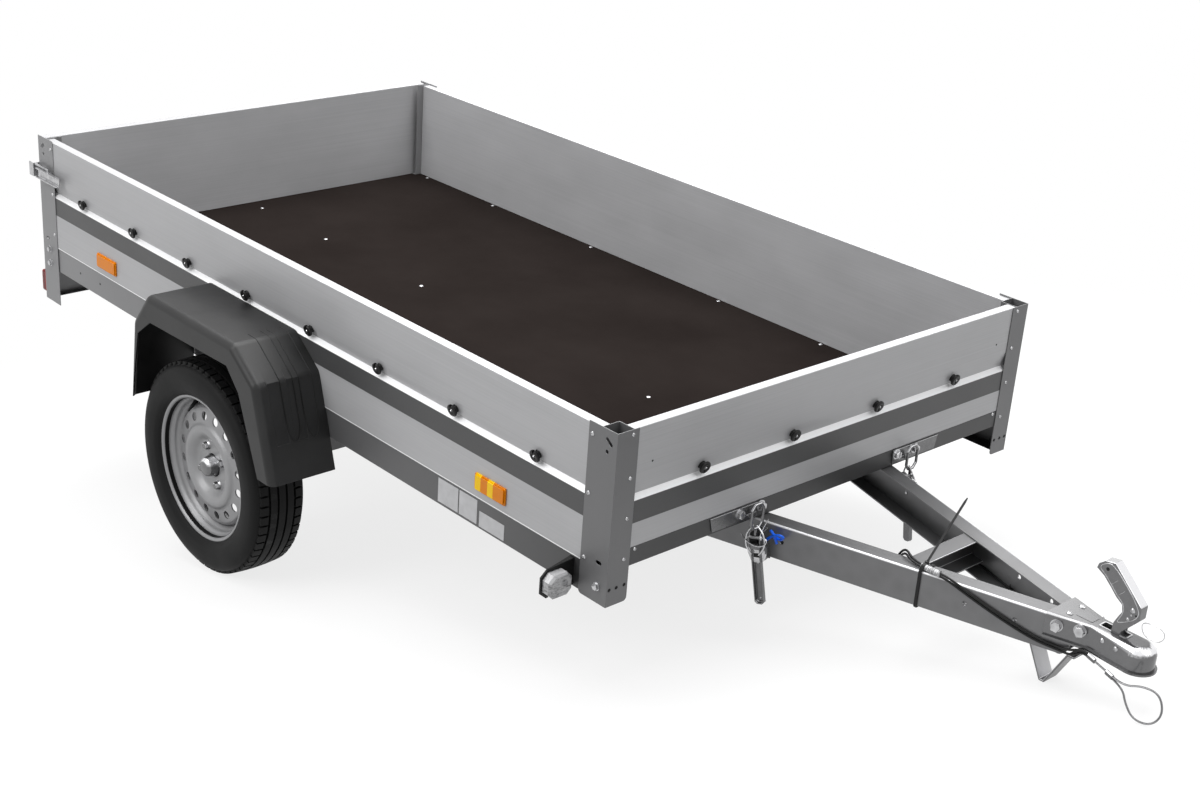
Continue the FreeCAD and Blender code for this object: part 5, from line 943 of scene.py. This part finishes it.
def marker_lens():
    """An eight-sided clear lens with a chamfered rim and a face cut into shallow facets."""
    outline = []
    for across, up in ((1, 1), (-1, 1), (-1, -1), (1, -1)):
        y, z = (centre + sign * half for centre, sign, half in zip(LAMP_CENTRE, (across, up), LAMP_HALF))
        ends = [(y, z - up * LAMP_CORNER), (y - across * LAMP_CORNER, z)]
        outline += ends if across * up > 0 else ends[::-1]
    lens = prism(outline, "YZ", LAMP_BACK, LAMP_FACE - 0.006)
    front = max(lens.faces, key=lambda face: face.calc_center_median().x)
    for inset, rise in ((0.004, 0.005), (0.003, 0.001), (0.007, -0.0015), (0.006, 0.002)):
        bmesh.ops.inset_region(lens, faces=[front], thickness=inset, depth=0)
        bmesh.ops.translate(lens, verts=front.verts, vec=(rise, 0, 0))
    bmesh.ops.poke(lens, faces=[front], offset=0.0015)
    return lens


amber = park_and_link("reflector_lenses", reflectors(), AMBER, "load_box", ["reflectors"])
add_bevel(amber, 0.0008)
park_and_link("marker_lenses", twinned(marker_lens()), CLEAR, "load_box",
              ["marker_lamps"], 20)
softened(["rear_lamps"], RED, "load_box", 0.006, 4)

# Fastenings of the load box's right side, as places along it and heights
POST_RIVETS = [(-0.070, 0.351), (-0.070, 0.225), (-0.070, 0.084), (-2.264, 0.351), (-2.264, 0.225),
               (-2.264, 0.110)]
POST_BOLTS = [(-0.028, 0.037), (-2.295, 0.060), (-2.295, 0.020)]
FLANGE_RIVET_Y, FLANGE_RIVETS = -0.610, (0.365, 0.273, 0.186, 0.097)
PANEL_RIVET = (-POST_SHEET, -0.580, 0.110)
POST_HOLES, POST_HOLE_Z = (0.008, 0.027, 0.048), 0.0385
SMALL_HOLE_FRONT = (-POST_SHEET, -0.550, 0.2936)
SMALL_HOLES_SIDE = [(-2.132, 0.0373), (-2.023, 0.0406)]
SCREW_ROWS, BARE_ROW, SCREW_Y = (-0.10, -0.57, -0.94, -1.46, -1.91, -2.24), -0.94, 0.613
LABELS = [(-0.541, -0.472, 0.010, 0.066), (-0.468, -0.408, 0.010, 0.066), (-0.400, -0.318, 0.009, 0.045)]


def post_fastenings():
    """Rivets and bolts on the right side's posts and frame."""
    meshes = placed(rivet_head(0.0048, 0.0028), RIGHT, [(x, -HALF_WIDTH, z) for x, z in POST_RIVETS])
    meshes += placed(rivet_head(0.0042, 0.0026), FORWARD,
                     [(0, FLANGE_RIVET_Y, z) for z in FLANGE_RIVETS] + [PANEL_RIVET])
    meshes += placed(hexagon_head(0.013, 0.0060, 0.0016), RIGHT,
                     [(x, -HALF_WIDTH, z) for x, z in POST_BOLTS])
    return joined(meshes)


def painted_hole_shades():
    """Black discs that paint the shade in the post's open holes and the panels' small holes."""
    cap = 0.0008
    meshes = placed(rivet_head(0.0062, cap), FORWARD,
                    [(-POST_SHEET - cap, -HALF_WIDTH + across, POST_HOLE_Z) for across in POST_HOLES])
    meshes += placed(rivet_head(0.0024, 0.0004), FORWARD, [SMALL_HOLE_FRONT])
    meshes += placed(rivet_head(0.0030, 0.0004), RIGHT, [(x, -FRAME_FACE, z) for x, z in SMALL_HOLES_SIDE])
    return joined(meshes)


def floor_screws():
    """Rows of screws across the floor, one of them with none in the middle."""
    places = [(x, y, FLOOR_TOP) for x in SCREW_ROWS for y in (-SCREW_Y, 0.0, SCREW_Y)
              if y or x != BARE_ROW]
    return joined(placed(rivet_head(0.0055, 0.0018), UPWARD, places))


def bare_labels():
    """Thin blank plates on the right frame rail, where the real one carries its labels."""
    return joined([block((x1 - x0, 0.0005, z1 - z0), ((x0 + x1) / 2, -FRAME_FACE, (z0 + z1) / 2))
                   for x0, x1, z0, z1 in LABELS])


park_and_link("box_fastenings", joined([twinned(post_fastenings()), floor_screws()]), BOLT_ZINC, "load_box")
# Painted shade: black discs where the holes show dark
park_and_link("hole_shades_painted", twinned(painted_hole_shades()), BLACK_RUBBER, "load_box")
park_and_link("bare_labels", bare_labels(), LABEL, "load_box")


# Coupling and its handle
def arm_face(x):
    """The right arm's outer face, as y at a place along the trailer."""
    return -ARM_FRONT_Y + ARM_SLOPE * x


ARM_OUTWARDS = Vector((ARM_SLOPE, -1, 0)).normalized()
CHEEK_OUTWARDS = Vector((-0.088, -1, 0)).normalized()
COVER_SHEET = 0.0043 * math.sqrt(1 + ARM_SLOPE ** 2)
COVER_BOLTS = [(0.628, 0.055, 0.3), (0.672, 0.060, 0.8)]
CHEEK_RIVETS = [(0.720, -0.0283, 0.060), (0.752, -0.0310, 0.058)]
TOP_HEAD_X, TOP_HEADS_Y = 0.6370, (-0.0187, 0.0243)
PAD_CENTRE, PAD_HALF_LONG, PAD_HALF_WIDE = 0.6655, 0.019, 0.0135
SLOT_REAR, SLOT_FRONT, SLOT_HALF, SLOT_RIM = 0.700, 0.757, 0.009, 0.003

# The handle's side plate: pins as (x, z, radius, height), holes as (x, z, radius), its rim and creases
HANDLE_SIDE = 0.013
HANDLE_PINS = [(0.7615, 0.1395, 0.0055, 0.0028), (0.7545, 0.1180, 0.0035, 0.0016),
               (0.7600, 0.1285, 0.0022, 0.0010)]
HANDLE_HOLES = [(0.6945, 0.1985, 0.0036), (0.7545, 0.1180, 0.0026), (0.7700, 0.1320, 0.0020)]
HANDLE_RIM = [(0.676, 0.196), (0.692, 0.186), (0.712, 0.1675), (0.725, 0.1545), (0.7405, 0.144),
              (0.7435, 0.128), (0.738, 0.113), (0.732, 0.099), (0.7745, 0.125), (0.7745, 0.1495),
              (0.707, 0.213), (0.688, 0.2095)]
HANDLE_CREASES = [(0.711, 0.1755), (0.729, 0.1604)]
CREASE = [(-0.004, -0.004), (0.001, 0.001), (0.009, 0.010)]
WIRE_RING = [(0.7772, 0.1190), (0.7822, 0.0975), (0.7985, 0.0905), (0.8190, 0.0925), (0.8300, 0.1080),
             (0.8235, 0.1215), (0.8020, 0.1235)]


def coupling_fastenings():
    """Two bolts and two rivets through each cheek, and two round heads on the top plate."""
    meshes = [aimed(hexagon_head(0.018, 0.0085, 0.0020, 0.16), ARM_OUTWARDS,
                    (x, arm_face(x) - COVER_SHEET, z), roll) for x, z, roll in COVER_BOLTS]
    meshes += placed(rivet_head(0.0055, 0.0030), CHEEK_OUTWARDS, CHEEK_RIVETS)
    heads = placed(rivet_head(0.0068, 0.0034), UPWARD, [(TOP_HEAD_X, y, COUPLING_TOP) for y in TOP_HEADS_Y])
    return joined([twinned(joined(meshes))] + heads)


def bare_pad():
    """The low raised pad on the cover's top plate, left bare."""
    return plate((PAD_CENTRE - PAD_HALF_LONG, -PAD_HALF_WIDE), (PAD_CENTRE + PAD_HALF_LONG, PAD_HALF_WIDE),
                 0.003, 3, "XY", COUPLING_TOP - 0.0002, COUPLING_TOP + 0.0007)


def slot_rim():
    """The turned-up edge round the slot that the handle comes out of, drawn bright as a painted highlight.
    """
    wide = SLOT_HALF + SLOT_RIM
    outer = plate((SLOT_REAR - SLOT_RIM, -wide), (SLOT_FRONT + SLOT_RIM, wide), 0.004, 3, "XY",
                  COUPLING_TOP - 0.001, COUPLING_TOP + 0.0012)
    inner = plate((SLOT_REAR, -SLOT_HALF), (SLOT_FRONT, SLOT_HALF), 0.0015, 2, "XY",
                  COUPLING_TOP - 0.005, COUPLING_TOP + 0.005)
    return with_holes(outer, inner)


def handle_pins():
    """The cross bolt at the handle's elbow and the small pins beside it, on both side plates."""
    return twinned(joined([aimed(rivet_head(radius, height), RIGHT, (x, -HANDLE_SIDE, z))
                           for x, z, radius, height in HANDLE_PINS]))


def handle_rims():
    """The rolled rim round each of the handle's side plates and two creases across it: painted highlights.
    """
    meshes = [bar([(x, -HANDLE_SIDE, z) for x, z in HANDLE_RIM], 0.0011, cyclic=True)]
    for x, z in HANDLE_CREASES:
        meshes.append(bar([(x + ahead, -HANDLE_SIDE, z + above) for ahead, above in CREASE], 0.0007))
    return twinned(joined(meshes))


def handle_hole_shades():
    """Black discs on the side plates that paint the shade of the holes at the handle's tip and elbow."""
    return twinned(joined([aimed(rivet_head(radius, 0.0006), RIGHT, (x, -HANDLE_SIDE - 0.0002, z))
                           for x, z, radius in HANDLE_HOLES]))


def wire_ring():
    """A thin wire ring through the handle's elbow."""
    return bar([(x, 0.0, z) for x, z in WIRE_RING], 0.0008, cyclic=True)


# The slot rim and the handle's rims and creases take the bright bolt zinc as a painted highlight
for name, make in (("coupling_bolts", coupling_fastenings), ("coupling_slot_rim", slot_rim),
                   ("handle_pins", handle_pins), ("handle_side_rims", handle_rims),
                   ("handle_wire_ring", wire_ring)):
    park_and_link(name, make(), BOLT_ZINC, "drawbar")
park_and_link("coupling_bare_pad", bare_pad(), BRIGHT_ZINC, "drawbar")
# Painted shade: black discs where the handle's holes show dark
park_and_link("handle_side_hole_shades", handle_hole_shades(), BLACK_RUBBER, "drawbar")

# Holes along the right arm's web: a black disc paints the shade in the open one,
# and a grey disc stands where a plate lies behind
ARM_HOLE_Z, ARM_HOLE_DEPTH = ARM_TOP - ARM_HEIGHT * 0.46, 0.0036
OPEN_ARM_HOLES, BACKED_ARM_HOLES = (0.0576,), (0.447, 0.547)
FAR_CABLE = [(0.300, 0.1285, 0.001), (0.360, 0.1105, 0.002), (0.430, 0.0895, 0.000), (0.500, 0.0690, 0.000),
             (0.560, 0.0515, -0.001), (0.620, 0.0340, 0.001)]
CLIP_BAND = [(-0.004, 0.0012, 0.0), (0.0, 0.0, 0.0), (0.004, -0.0012, 0.0)]
CLIP_END = [(0.0, 0.0, 0.0), (0.001, -0.004, 0.006), (0.003, -0.006, 0.013)]
CABLE_RADIUS = 0.0025


def arm_hole_discs(places):
    """Discs just behind the right arm's web holes."""
    return joined(placed(rivet_head(0.0070, 0.0010), ARM_OUTWARDS,
                         [(x, arm_face(x) + ARM_HOLE_DEPTH, ARM_HOLE_Z) for x in places]))


def far_cable():
    """The cable that lies in the far arm's channel, with its two clips."""
    meshes = [bar(FAR_CABLE, CABLE_RADIUS, 3)]
    for place in (FAR_CABLE[2], FAR_CABLE[4]):
        meshes.append(bar([Vector(place) + Vector(step) for step in CLIP_BAND], 0.0042, 3))
        meshes.append(bar([Vector(place) + Vector(step) for step in CLIP_END], 0.0012))
    return joined(meshes)


# Painted shade: a black disc where the open hole shows dark
park_and_link("arm_hole_painted_shade", arm_hole_discs(OPEN_ARM_HOLES), BLACK_RUBBER, "drawbar")
park_and_link("arm_hole_plates", arm_hole_discs(BACKED_ARM_HOLES), ARM_STEEL, "drawbar")
park_and_link("far_arm_cable", far_cable(), BLACK_RUBBER, "drawbar", smooth=40)

# A latch's own frame: x along the arm, y out of its face when negative, z up its base
LATCH_ALONG, LATCH_PIN_Z, LATCH_LEAN = 0.014, 0.046, math.radians(11)
LATCH_FRAME = (Matrix.Translation((0, -ARM_FRONT_Y, 0)) @ Matrix.Rotation(math.atan(ARM_SLOPE), 4, "Z")
               @ Matrix.Translation((LATCH_ALONG, 0, LATCH_PIN_Z)) @ Matrix.Rotation(-LATCH_LEAN, 4, "Y"))
CHEEK_X, PIN_Y = 0.014, -0.0345
LEVER_FACE_Y, LEVER_RIVETS = -0.0315, (-0.058, -0.138)
ONION_WIRE = [(0.004, -0.030, 0.026), (0.017, -0.032, 0.014), (0.0225, -0.035, -0.006),
              (0.0200, -0.039, -0.024), (0.0080, -0.041, -0.036)]
SPRING_WIRE = [(-0.0380, -0.024, 0.000), (-0.0250, -0.036, -0.004), (-0.0080, -0.0440, -0.012),
               (0.0120, -0.0450, -0.016), (0.0250, -0.0400, -0.012), (0.0270, -0.034, -0.004),
               (0.0180, -0.030, 0.000)]
SPRING_END = [(0.0250, -0.016, 0.036), (0.0180, -0.026, 0.024), (0.0140, -0.034, 0.010)]
SHOULDER = [(-0.0185, -0.020), (0.0185, -0.020), (0.0205, -0.034), (0.0125, -0.056), (-0.0125, -0.056),
            (-0.0205, -0.034)]
BLUE_CLIP = [(0.017, -0.016, -0.010), (0.030, -0.020, 0.002), (0.052, -0.020, 0.006),
             (0.058, -0.016, -0.002), (0.044, -0.012, -0.010), (0.030, -0.012, 0.004),
             (0.028, -0.018, 0.014), (0.036, -0.020, 0.008), (0.040, -0.016, -0.016)]
BRACKET_BOLTS = [(-0.2855, 0.102), (-0.2212, 0.1035)]
BRACKET_SHEET = 0.0032


def on_latch(bm):
    """Puts a shape made in the latch's own frame at the right latch."""
    bm.transform(LATCH_FRAME)
    return bm


def latch_details():
    """Rivets at the cross pin's ends and on the lever, and the spring wire over the lever's root."""
    meshes = []
    for side in (-1, 1):
        meshes.append(aimed(rivet_head(0.0052, 0.0026), (side, 0, 0), (side * CHEEK_X, PIN_Y, 0)))
        meshes.append(bar([(side * x, y, z) for x, y, z in ONION_WIRE], 0.0019))
    meshes += placed(rivet_head(0.0024, 0.0010), RIGHT, [(0, LEVER_FACE_Y, z) for z in LEVER_RIVETS])
    meshes += [bar(SPRING_WIRE, 0.0013), bar(SPRING_END, 0.0013)]
    meshes.append(prism(rounded(SHOULDER, 0.004, 3, closed=True), "XZ", -0.0235, PIN_Y))
    return twinned(on_latch(joined(meshes)))


def latch_window_shades():
    """A thin black plate at each lever's root that paints the shade of its window."""
    return twinned(on_latch(block((0.013, 0.001, 0.009), (0, -0.0348, -0.040))))


def bracket_bolts():
    """The bolts that hold the latch brackets on the crossmember's lower lip."""
    places = [(-POST_SHEET + BRACKET_SHEET, y, z) for y, z in BRACKET_BOLTS]
    return twinned(joined(placed(hexagon_head(0.017, 0.0090, 0.0020, 0.2), FORWARD, places)))


park_and_link("latch_wires", latch_details(), BOLT_ZINC, "drawbar")
# Painted shade: black plates where the levers' windows show dark
park_and_link("latch_window_shades", latch_window_shades(), BLACK_RUBBER, "drawbar")
park_and_link("bracket_bolts", bracket_bolts(), BOLT_ZINC, "load_box")
# A blue plastic cord clip is looped through the right latch's cheek
park_and_link("cheek_clip", on_latch(bar(BLUE_CLIP, 0.0030)), BLUE, "drawbar", smooth=40)

# Cables, with the same routes as the part's source, in metres
CABLE_ROUTES = [
    [
        (0.270, -0.088, 0.050), (0.284, -0.093, 0.084), (0.320, -0.110, 0.076), (0.400, -0.109, 0.077),
        (0.446, -0.0956, 0.057), (0.512, -0.0762, 0.031), (0.588, -0.0538, 0.007), (0.640, -0.039, 0.003),
        (0.668, -0.036, 0.0035), (0.6873, -0.0341, 0.0215), (0.7018, -0.0374, 0.0195),
    ],
    [
        (0.266, -0.087, 0.056), (0.281, -0.0885, 0.0915), (0.320, -0.104, 0.076), (0.398, -0.109, 0.0835),
        (0.448, -0.0949, 0.064), (0.514, -0.0756, 0.038), (0.590, -0.0532, 0.014), (0.640, -0.039, 0.0094),
        (0.660, -0.0385, 0.013), (0.689, -0.0352, 0.0268), (0.7025, -0.0375, 0.0247),
    ],
]
ROPE_DIAMETER = 0.0045
ROPE_ROUTE = [
    (0.7215, -0.0418, 0.0194), (0.7491, -0.048, 0.0156), (0.7988, -0.0593, 0.0111), (0.836, -0.060, 0.030),
    (0.874, -0.061, 0.032), (0.888, -0.061, -0.006), (0.868, -0.061, -0.040), (0.830, -0.060, -0.046),
    (0.808, -0.059, -0.022), (0.7972, -0.0589, 0.0051), (0.7692, -0.0526, 0.009),
]
STRANDS, STRAND_SIDES = 6, 6
STRAND_RADIUS = 0.00078
STRAND_PITCH = 0.024


def rope_frames(line):
    """A place, two directions across and the length so far, at each point of a line."""
    side = (line[1] - line[0]).orthogonal().normalized()
    frames = []
    travelled = 0.0
    for index, point in enumerate(line):
        before, after = line[max(index - 1, 0)], line[min(index + 1, len(line) - 1)]
        along = (after - before).normalized()
        side = (side - along * side.dot(along)).normalized()
        if index:
            travelled += (point - line[index - 1]).length
        frames.append((point, side, along.cross(side), travelled))
    return frames


def rope_strands(line):
    """Six strands laid in a helix round a core, along a line of points."""
    bm = bmesh.new()
    frames = rope_frames(line)
    lay = ROPE_DIAMETER / 2 - STRAND_RADIUS
    for strand in range(STRANDS + 1):
        radius, width = (lay, STRAND_RADIUS) if strand else (0.0, lay - STRAND_RADIUS * 0.5)
        rings = []
        for point, first, second, distance in frames:
            turn = 2 * math.pi * (strand / STRANDS + distance / STRAND_PITCH)
            middle = point + (first * math.cos(turn) + second * math.sin(turn)) * radius
            ring = []
            for corner in range(STRAND_SIDES):
                angle = 2 * math.pi * corner / STRAND_SIDES
                outwards = first * math.cos(angle) + second * math.sin(angle)
                ring.append(bm.verts.new(middle + outwards * width))
            rings.append(ring)
        loops = [[bm.edges.new(pair) for pair in zip(ring, ring[1:] + ring[:1])] for ring in rings]
        for lower, upper in zip(loops, loops[1:]):
            bmesh.ops.bridge_loops(bm, edges=lower + upper)
        for ring in (rings[0], rings[-1]):
            bm.faces.new(ring)
    bm.transform(LEVEL)
    return bm


def rope_curve():
    """Points along the rope's smooth curve, in the parked trailer's frame."""
    route = smooth_line([PARKED @ Vector(point) for point in ROPE_ROUTE], steps=24)
    line = [vert.co.copy() for vert in route.verts]
    route.free()
    return line


park_and_link("black_cables", joined([bar(route, CABLE_RADIUS, 4) for route in CABLE_ROUTES]),
              BLACK_RUBBER, "drawbar", ["safety_cable"], 60)

# The wire rope hangs free from the cables' end
rope_line = rope_curve()
rope = park_and_link("breakaway_rope", rope_strands(rope_line), ROPE_WIRE, "drawbar",
                     ["safety_rope"], 60)

# The tie round the arm and its cables: its outlines are pairs of a distance in from the arm's face
# and a height
TIE_X, TIE_HALF = 0.3510, 0.0038
ARM_FOOT = ARM_TOP - ARM_HEIGHT
TIE_OUTSIDE = [(-0.0016, ARM_FOOT - 0.0014), (0.0440, ARM_FOOT - 0.0014), (0.0440, ARM_TOP + 0.0014),
               (0.0260, ARM_TOP + 0.0030), (0.0180, ARM_TOP + 0.0125), (0.0117, ARM_TOP + 0.0148),
               (0.0050, ARM_TOP + 0.0125), (-0.0016, ARM_TOP + 0.0016)]
TIE_INSIDE = [(-0.0003, ARM_FOOT - 0.0003), (0.0427, ARM_FOOT - 0.0003), (0.0427, ARM_TOP + 0.0003),
              (0.0255, ARM_TOP + 0.0019), (0.0172, ARM_TOP + 0.0113), (0.0117, ARM_TOP + 0.0137),
              (0.0056, ARM_TOP + 0.0113), (-0.0003, ARM_TOP + 0.0003)]
TAIL_ROOT, TAIL_TIP = Vector((0.3491, -0.1000, 0.0852)), Vector((0.4190, -0.1000, 0.2590))
TAIL_HALF, TAIL_TIP_HALF, TAIL_TAPER, TAIL_THICKNESS = 0.0024, 0.0012, 0.012, 0.0012
LOCK_SIZE = (0.0085, 0.0060, 0.0070)
WRAP_LINE = [(0.345, -0.1085, 0.0785), (0.365, -0.1090, 0.0790), (0.390, -0.1090, 0.0800)]


def arm_tie():
    """A black tie strapped round the arm and the cables."""
    face = arm_face(TIE_X)
    outside = [(face + inwards, z) for inwards, z in TIE_OUTSIDE]
    inside = [(face + inwards, z) for inwards, z in TIE_INSIDE]
    return with_holes(prism(outside, "YZ", TIE_X - TIE_HALF, TIE_X + TIE_HALF),
                      prism(inside, "YZ", TIE_X - TIE_HALF - 0.01, TIE_X + TIE_HALF + 0.01))


def tie_tail():
    """The tie's flat tail, which stands up and narrows to its end, and the lock it comes out of."""
    run = (TAIL_TIP - TAIL_ROOT).normalized()
    across = Vector((run.z, 0, -run.x))
    widths = [(TAIL_ROOT, TAIL_HALF), (TAIL_TIP - run * TAIL_TAPER, TAIL_HALF), (TAIL_TIP, TAIL_TIP_HALF)]
    corners = [place - across * half for place, half in widths]
    corners += [place + across * half for place, half in reversed(widths)]
    tail = prism([(corner.x, corner.z) for corner in corners], "XZ", TAIL_ROOT.y + TAIL_THICKNESS / 2,
                 TAIL_ROOT.y - TAIL_THICKNESS / 2)
    lock = block(LOCK_SIZE, TAIL_ROOT)
    bmesh.ops.bevel(lock, geom=list(lock.edges), offset=0.0010, affect="EDGES", segments=2, profile=0.5,
                    material=-1, clamp_overlap=True)
    return joined([tail, lock])


park_and_link("arm_tie", arm_tie(), BLACK_RUBBER, "drawbar")
park_and_link("tie_tail", tie_tail(), TIE_GREY, "drawbar", smooth=60)
# A clear sleeve is wound round both cables where they lie on the arm's top
park_and_link("cable_wrap", bar(WRAP_LINE, 0.0068, 4), WRAP, "drawbar", smooth=60)

# Floor, light and camera. Lamps are name, place, size across and power in watts.
LAMPS = [("top_softbox", (-0.2, 0.3, 4.2), 4.5, 265), ("near_softbox", (-0.8, -4.2, 3.6), 3.4, 104),
         ("front_softbox", (4.2, 0.8, 3.2), 2.6, 45), ("back_softbox", (-2.2, 3.4, 2.2), 4.0, 110)]
LAMP_AIM = Vector((0, 0, 0.4))
WORLD_STRENGTH = 0.44
FLOOR_SIZE = 40
# How far out from the trailer the floor's glow goes from its first share to all
GLOW_START, GLOW_END, FLOOR_GLOW = 1.4, 3.0, 0.80
CAMERA_PLACE = Vector((2.25577, -2.86479, 1.81620))
CAMERA_RIGHT = Vector((0.66917, 0.74016, 0.06619))
CAMERA_DOWN = Vector((0.33677, -0.22266, -0.91488))
CAMERA_FORWARD = Vector((-0.66242, 0.63450, -0.39826))
FOCAL_PIXELS = 1847.75
PHOTO_WIDTH = 1200


def seen_as_white(tree, lit, seen):
    """Joins what lights the object with what the camera, metal and glass see."""
    path = tree.nodes.new("ShaderNodeLightPath")
    any_of = path.outputs["Is Camera Ray"]
    for ray in ("Is Glossy Ray", "Is Transmission Ray"):
        either = tree.nodes.new("ShaderNodeMath")
        either.operation = "MAXIMUM"
        tree.links.new(any_of, either.inputs[0])
        tree.links.new(path.outputs[ray], either.inputs[1])
        any_of = either.outputs[0]
    pick = tree.nodes.new("ShaderNodeMixShader")
    tree.links.new(any_of, pick.inputs[0])
    tree.links.new(lit, pick.inputs[1])
    tree.links.new(seen, pick.inputs[2])
    return pick.outputs[0]


def plain_shader(tree, kind, colour):
    """A shader of one colour."""
    shader = tree.nodes.new(kind)
    shader.inputs["Color"].default_value = (*colour, 1)
    return shader


def floor_material():
    """Pale floor: grey where it lights the object, and white with soft shadows where it is seen."""
    floor = bpy.data.materials.new("pale_floor")
    floor.use_nodes = True
    tree = floor.node_tree
    tree.nodes.clear()
    out = tree.nodes.new("ShaderNodeOutputMaterial")
    lit = plain_shader(tree, "ShaderNodeBsdfDiffuse", (0.30, 0.30, 0.30))
    shaded = plain_shader(tree, "ShaderNodeBsdfDiffuse", (0.92, 0.92, 0.92))
    glow = plain_shader(tree, "ShaderNodeEmission", (1, 1, 1))
    seen = tree.nodes.new("ShaderNodeMixShader")
    place = tree.nodes.new("ShaderNodeTexCoord")
    away = tree.nodes.new("ShaderNodeVectorMath")
    away.operation = "LENGTH"
    fade = tree.nodes.new("ShaderNodeMapRange")
    for socket, value in zip(fade.inputs[1:5], (GLOW_START, GLOW_END, FLOOR_GLOW, 1.0)):
        socket.default_value = value
    tree.links.new(place.outputs["Object"], away.inputs[0])
    tree.links.new(away.outputs["Value"], fade.inputs[0])
    tree.links.new(fade.outputs[0], seen.inputs[0])
    tree.links.new(shaded.outputs[0], seen.inputs[1])
    tree.links.new(glow.outputs[0], seen.inputs[2])
    tree.links.new(seen_as_white(tree, lit.outputs[0], seen.outputs[0]), out.inputs[0])
    return floor


def ground():
    """A wide floor under the trailer."""
    mesh = bpy.data.meshes.new("floor")
    bm = bmesh.new()
    bmesh.ops.create_grid(bm, x_segments=1, y_segments=1, size=FLOOR_SIZE)
    bm.to_mesh(mesh)
    bm.free()
    mesh.materials.append(floor_material())
    floor = bpy.data.objects.new("ground", mesh)
    bpy.context.scene.collection.objects.link(floor)


def studio():
    """A white world that lights softly, and four square lamps."""
    world = bpy.data.worlds.new("studio")
    bpy.context.scene.world = world
    world.use_nodes = True
    tree = world.node_tree
    tree.nodes.clear()
    out = tree.nodes.new("ShaderNodeOutputWorld")
    seen = plain_shader(tree, "ShaderNodeBackground", (1, 1, 1))
    lit = plain_shader(tree, "ShaderNodeBackground", (0.98, 0.99, 1))
    lit.inputs["Strength"].default_value = WORLD_STRENGTH
    tree.links.new(seen_as_white(tree, lit.outputs[0], seen.outputs[0]), out.inputs[0])
    for name, place, size, power in LAMPS:
        data = bpy.data.lights.new(name, "AREA")
        data.shape = "SQUARE"
        data.size = size
        data.energy = power
        lamp = bpy.data.objects.new(name, data)
        bpy.context.scene.collection.objects.link(lamp)
        lamp.location = place
        lamp.rotation_euler = (LAMP_AIM - Vector(place)).to_track_quat("-Z", "Y").to_euler()


def camera():
    """The photograph's camera, fitted in the level trailer and parked with it."""
    data = bpy.data.cameras.new("camera")
    data.sensor_width = 36
    data.lens = FOCAL_PIXELS / PHOTO_WIDTH * data.sensor_width
    data.clip_end = 200
    eye = bpy.data.objects.new("camera", data)
    bpy.context.scene.collection.objects.link(eye)
    axes = Matrix((CAMERA_RIGHT, -CAMERA_DOWN, -CAMERA_FORWARD)).transposed().to_4x4()
    eye.matrix_world = PARKED @ Matrix.Translation(CAMERA_PLACE) @ axes
    bpy.context.scene.camera = eye


ground()
studio()
camera()
bpy.context.scene.view_settings.view_transform = "Standard"
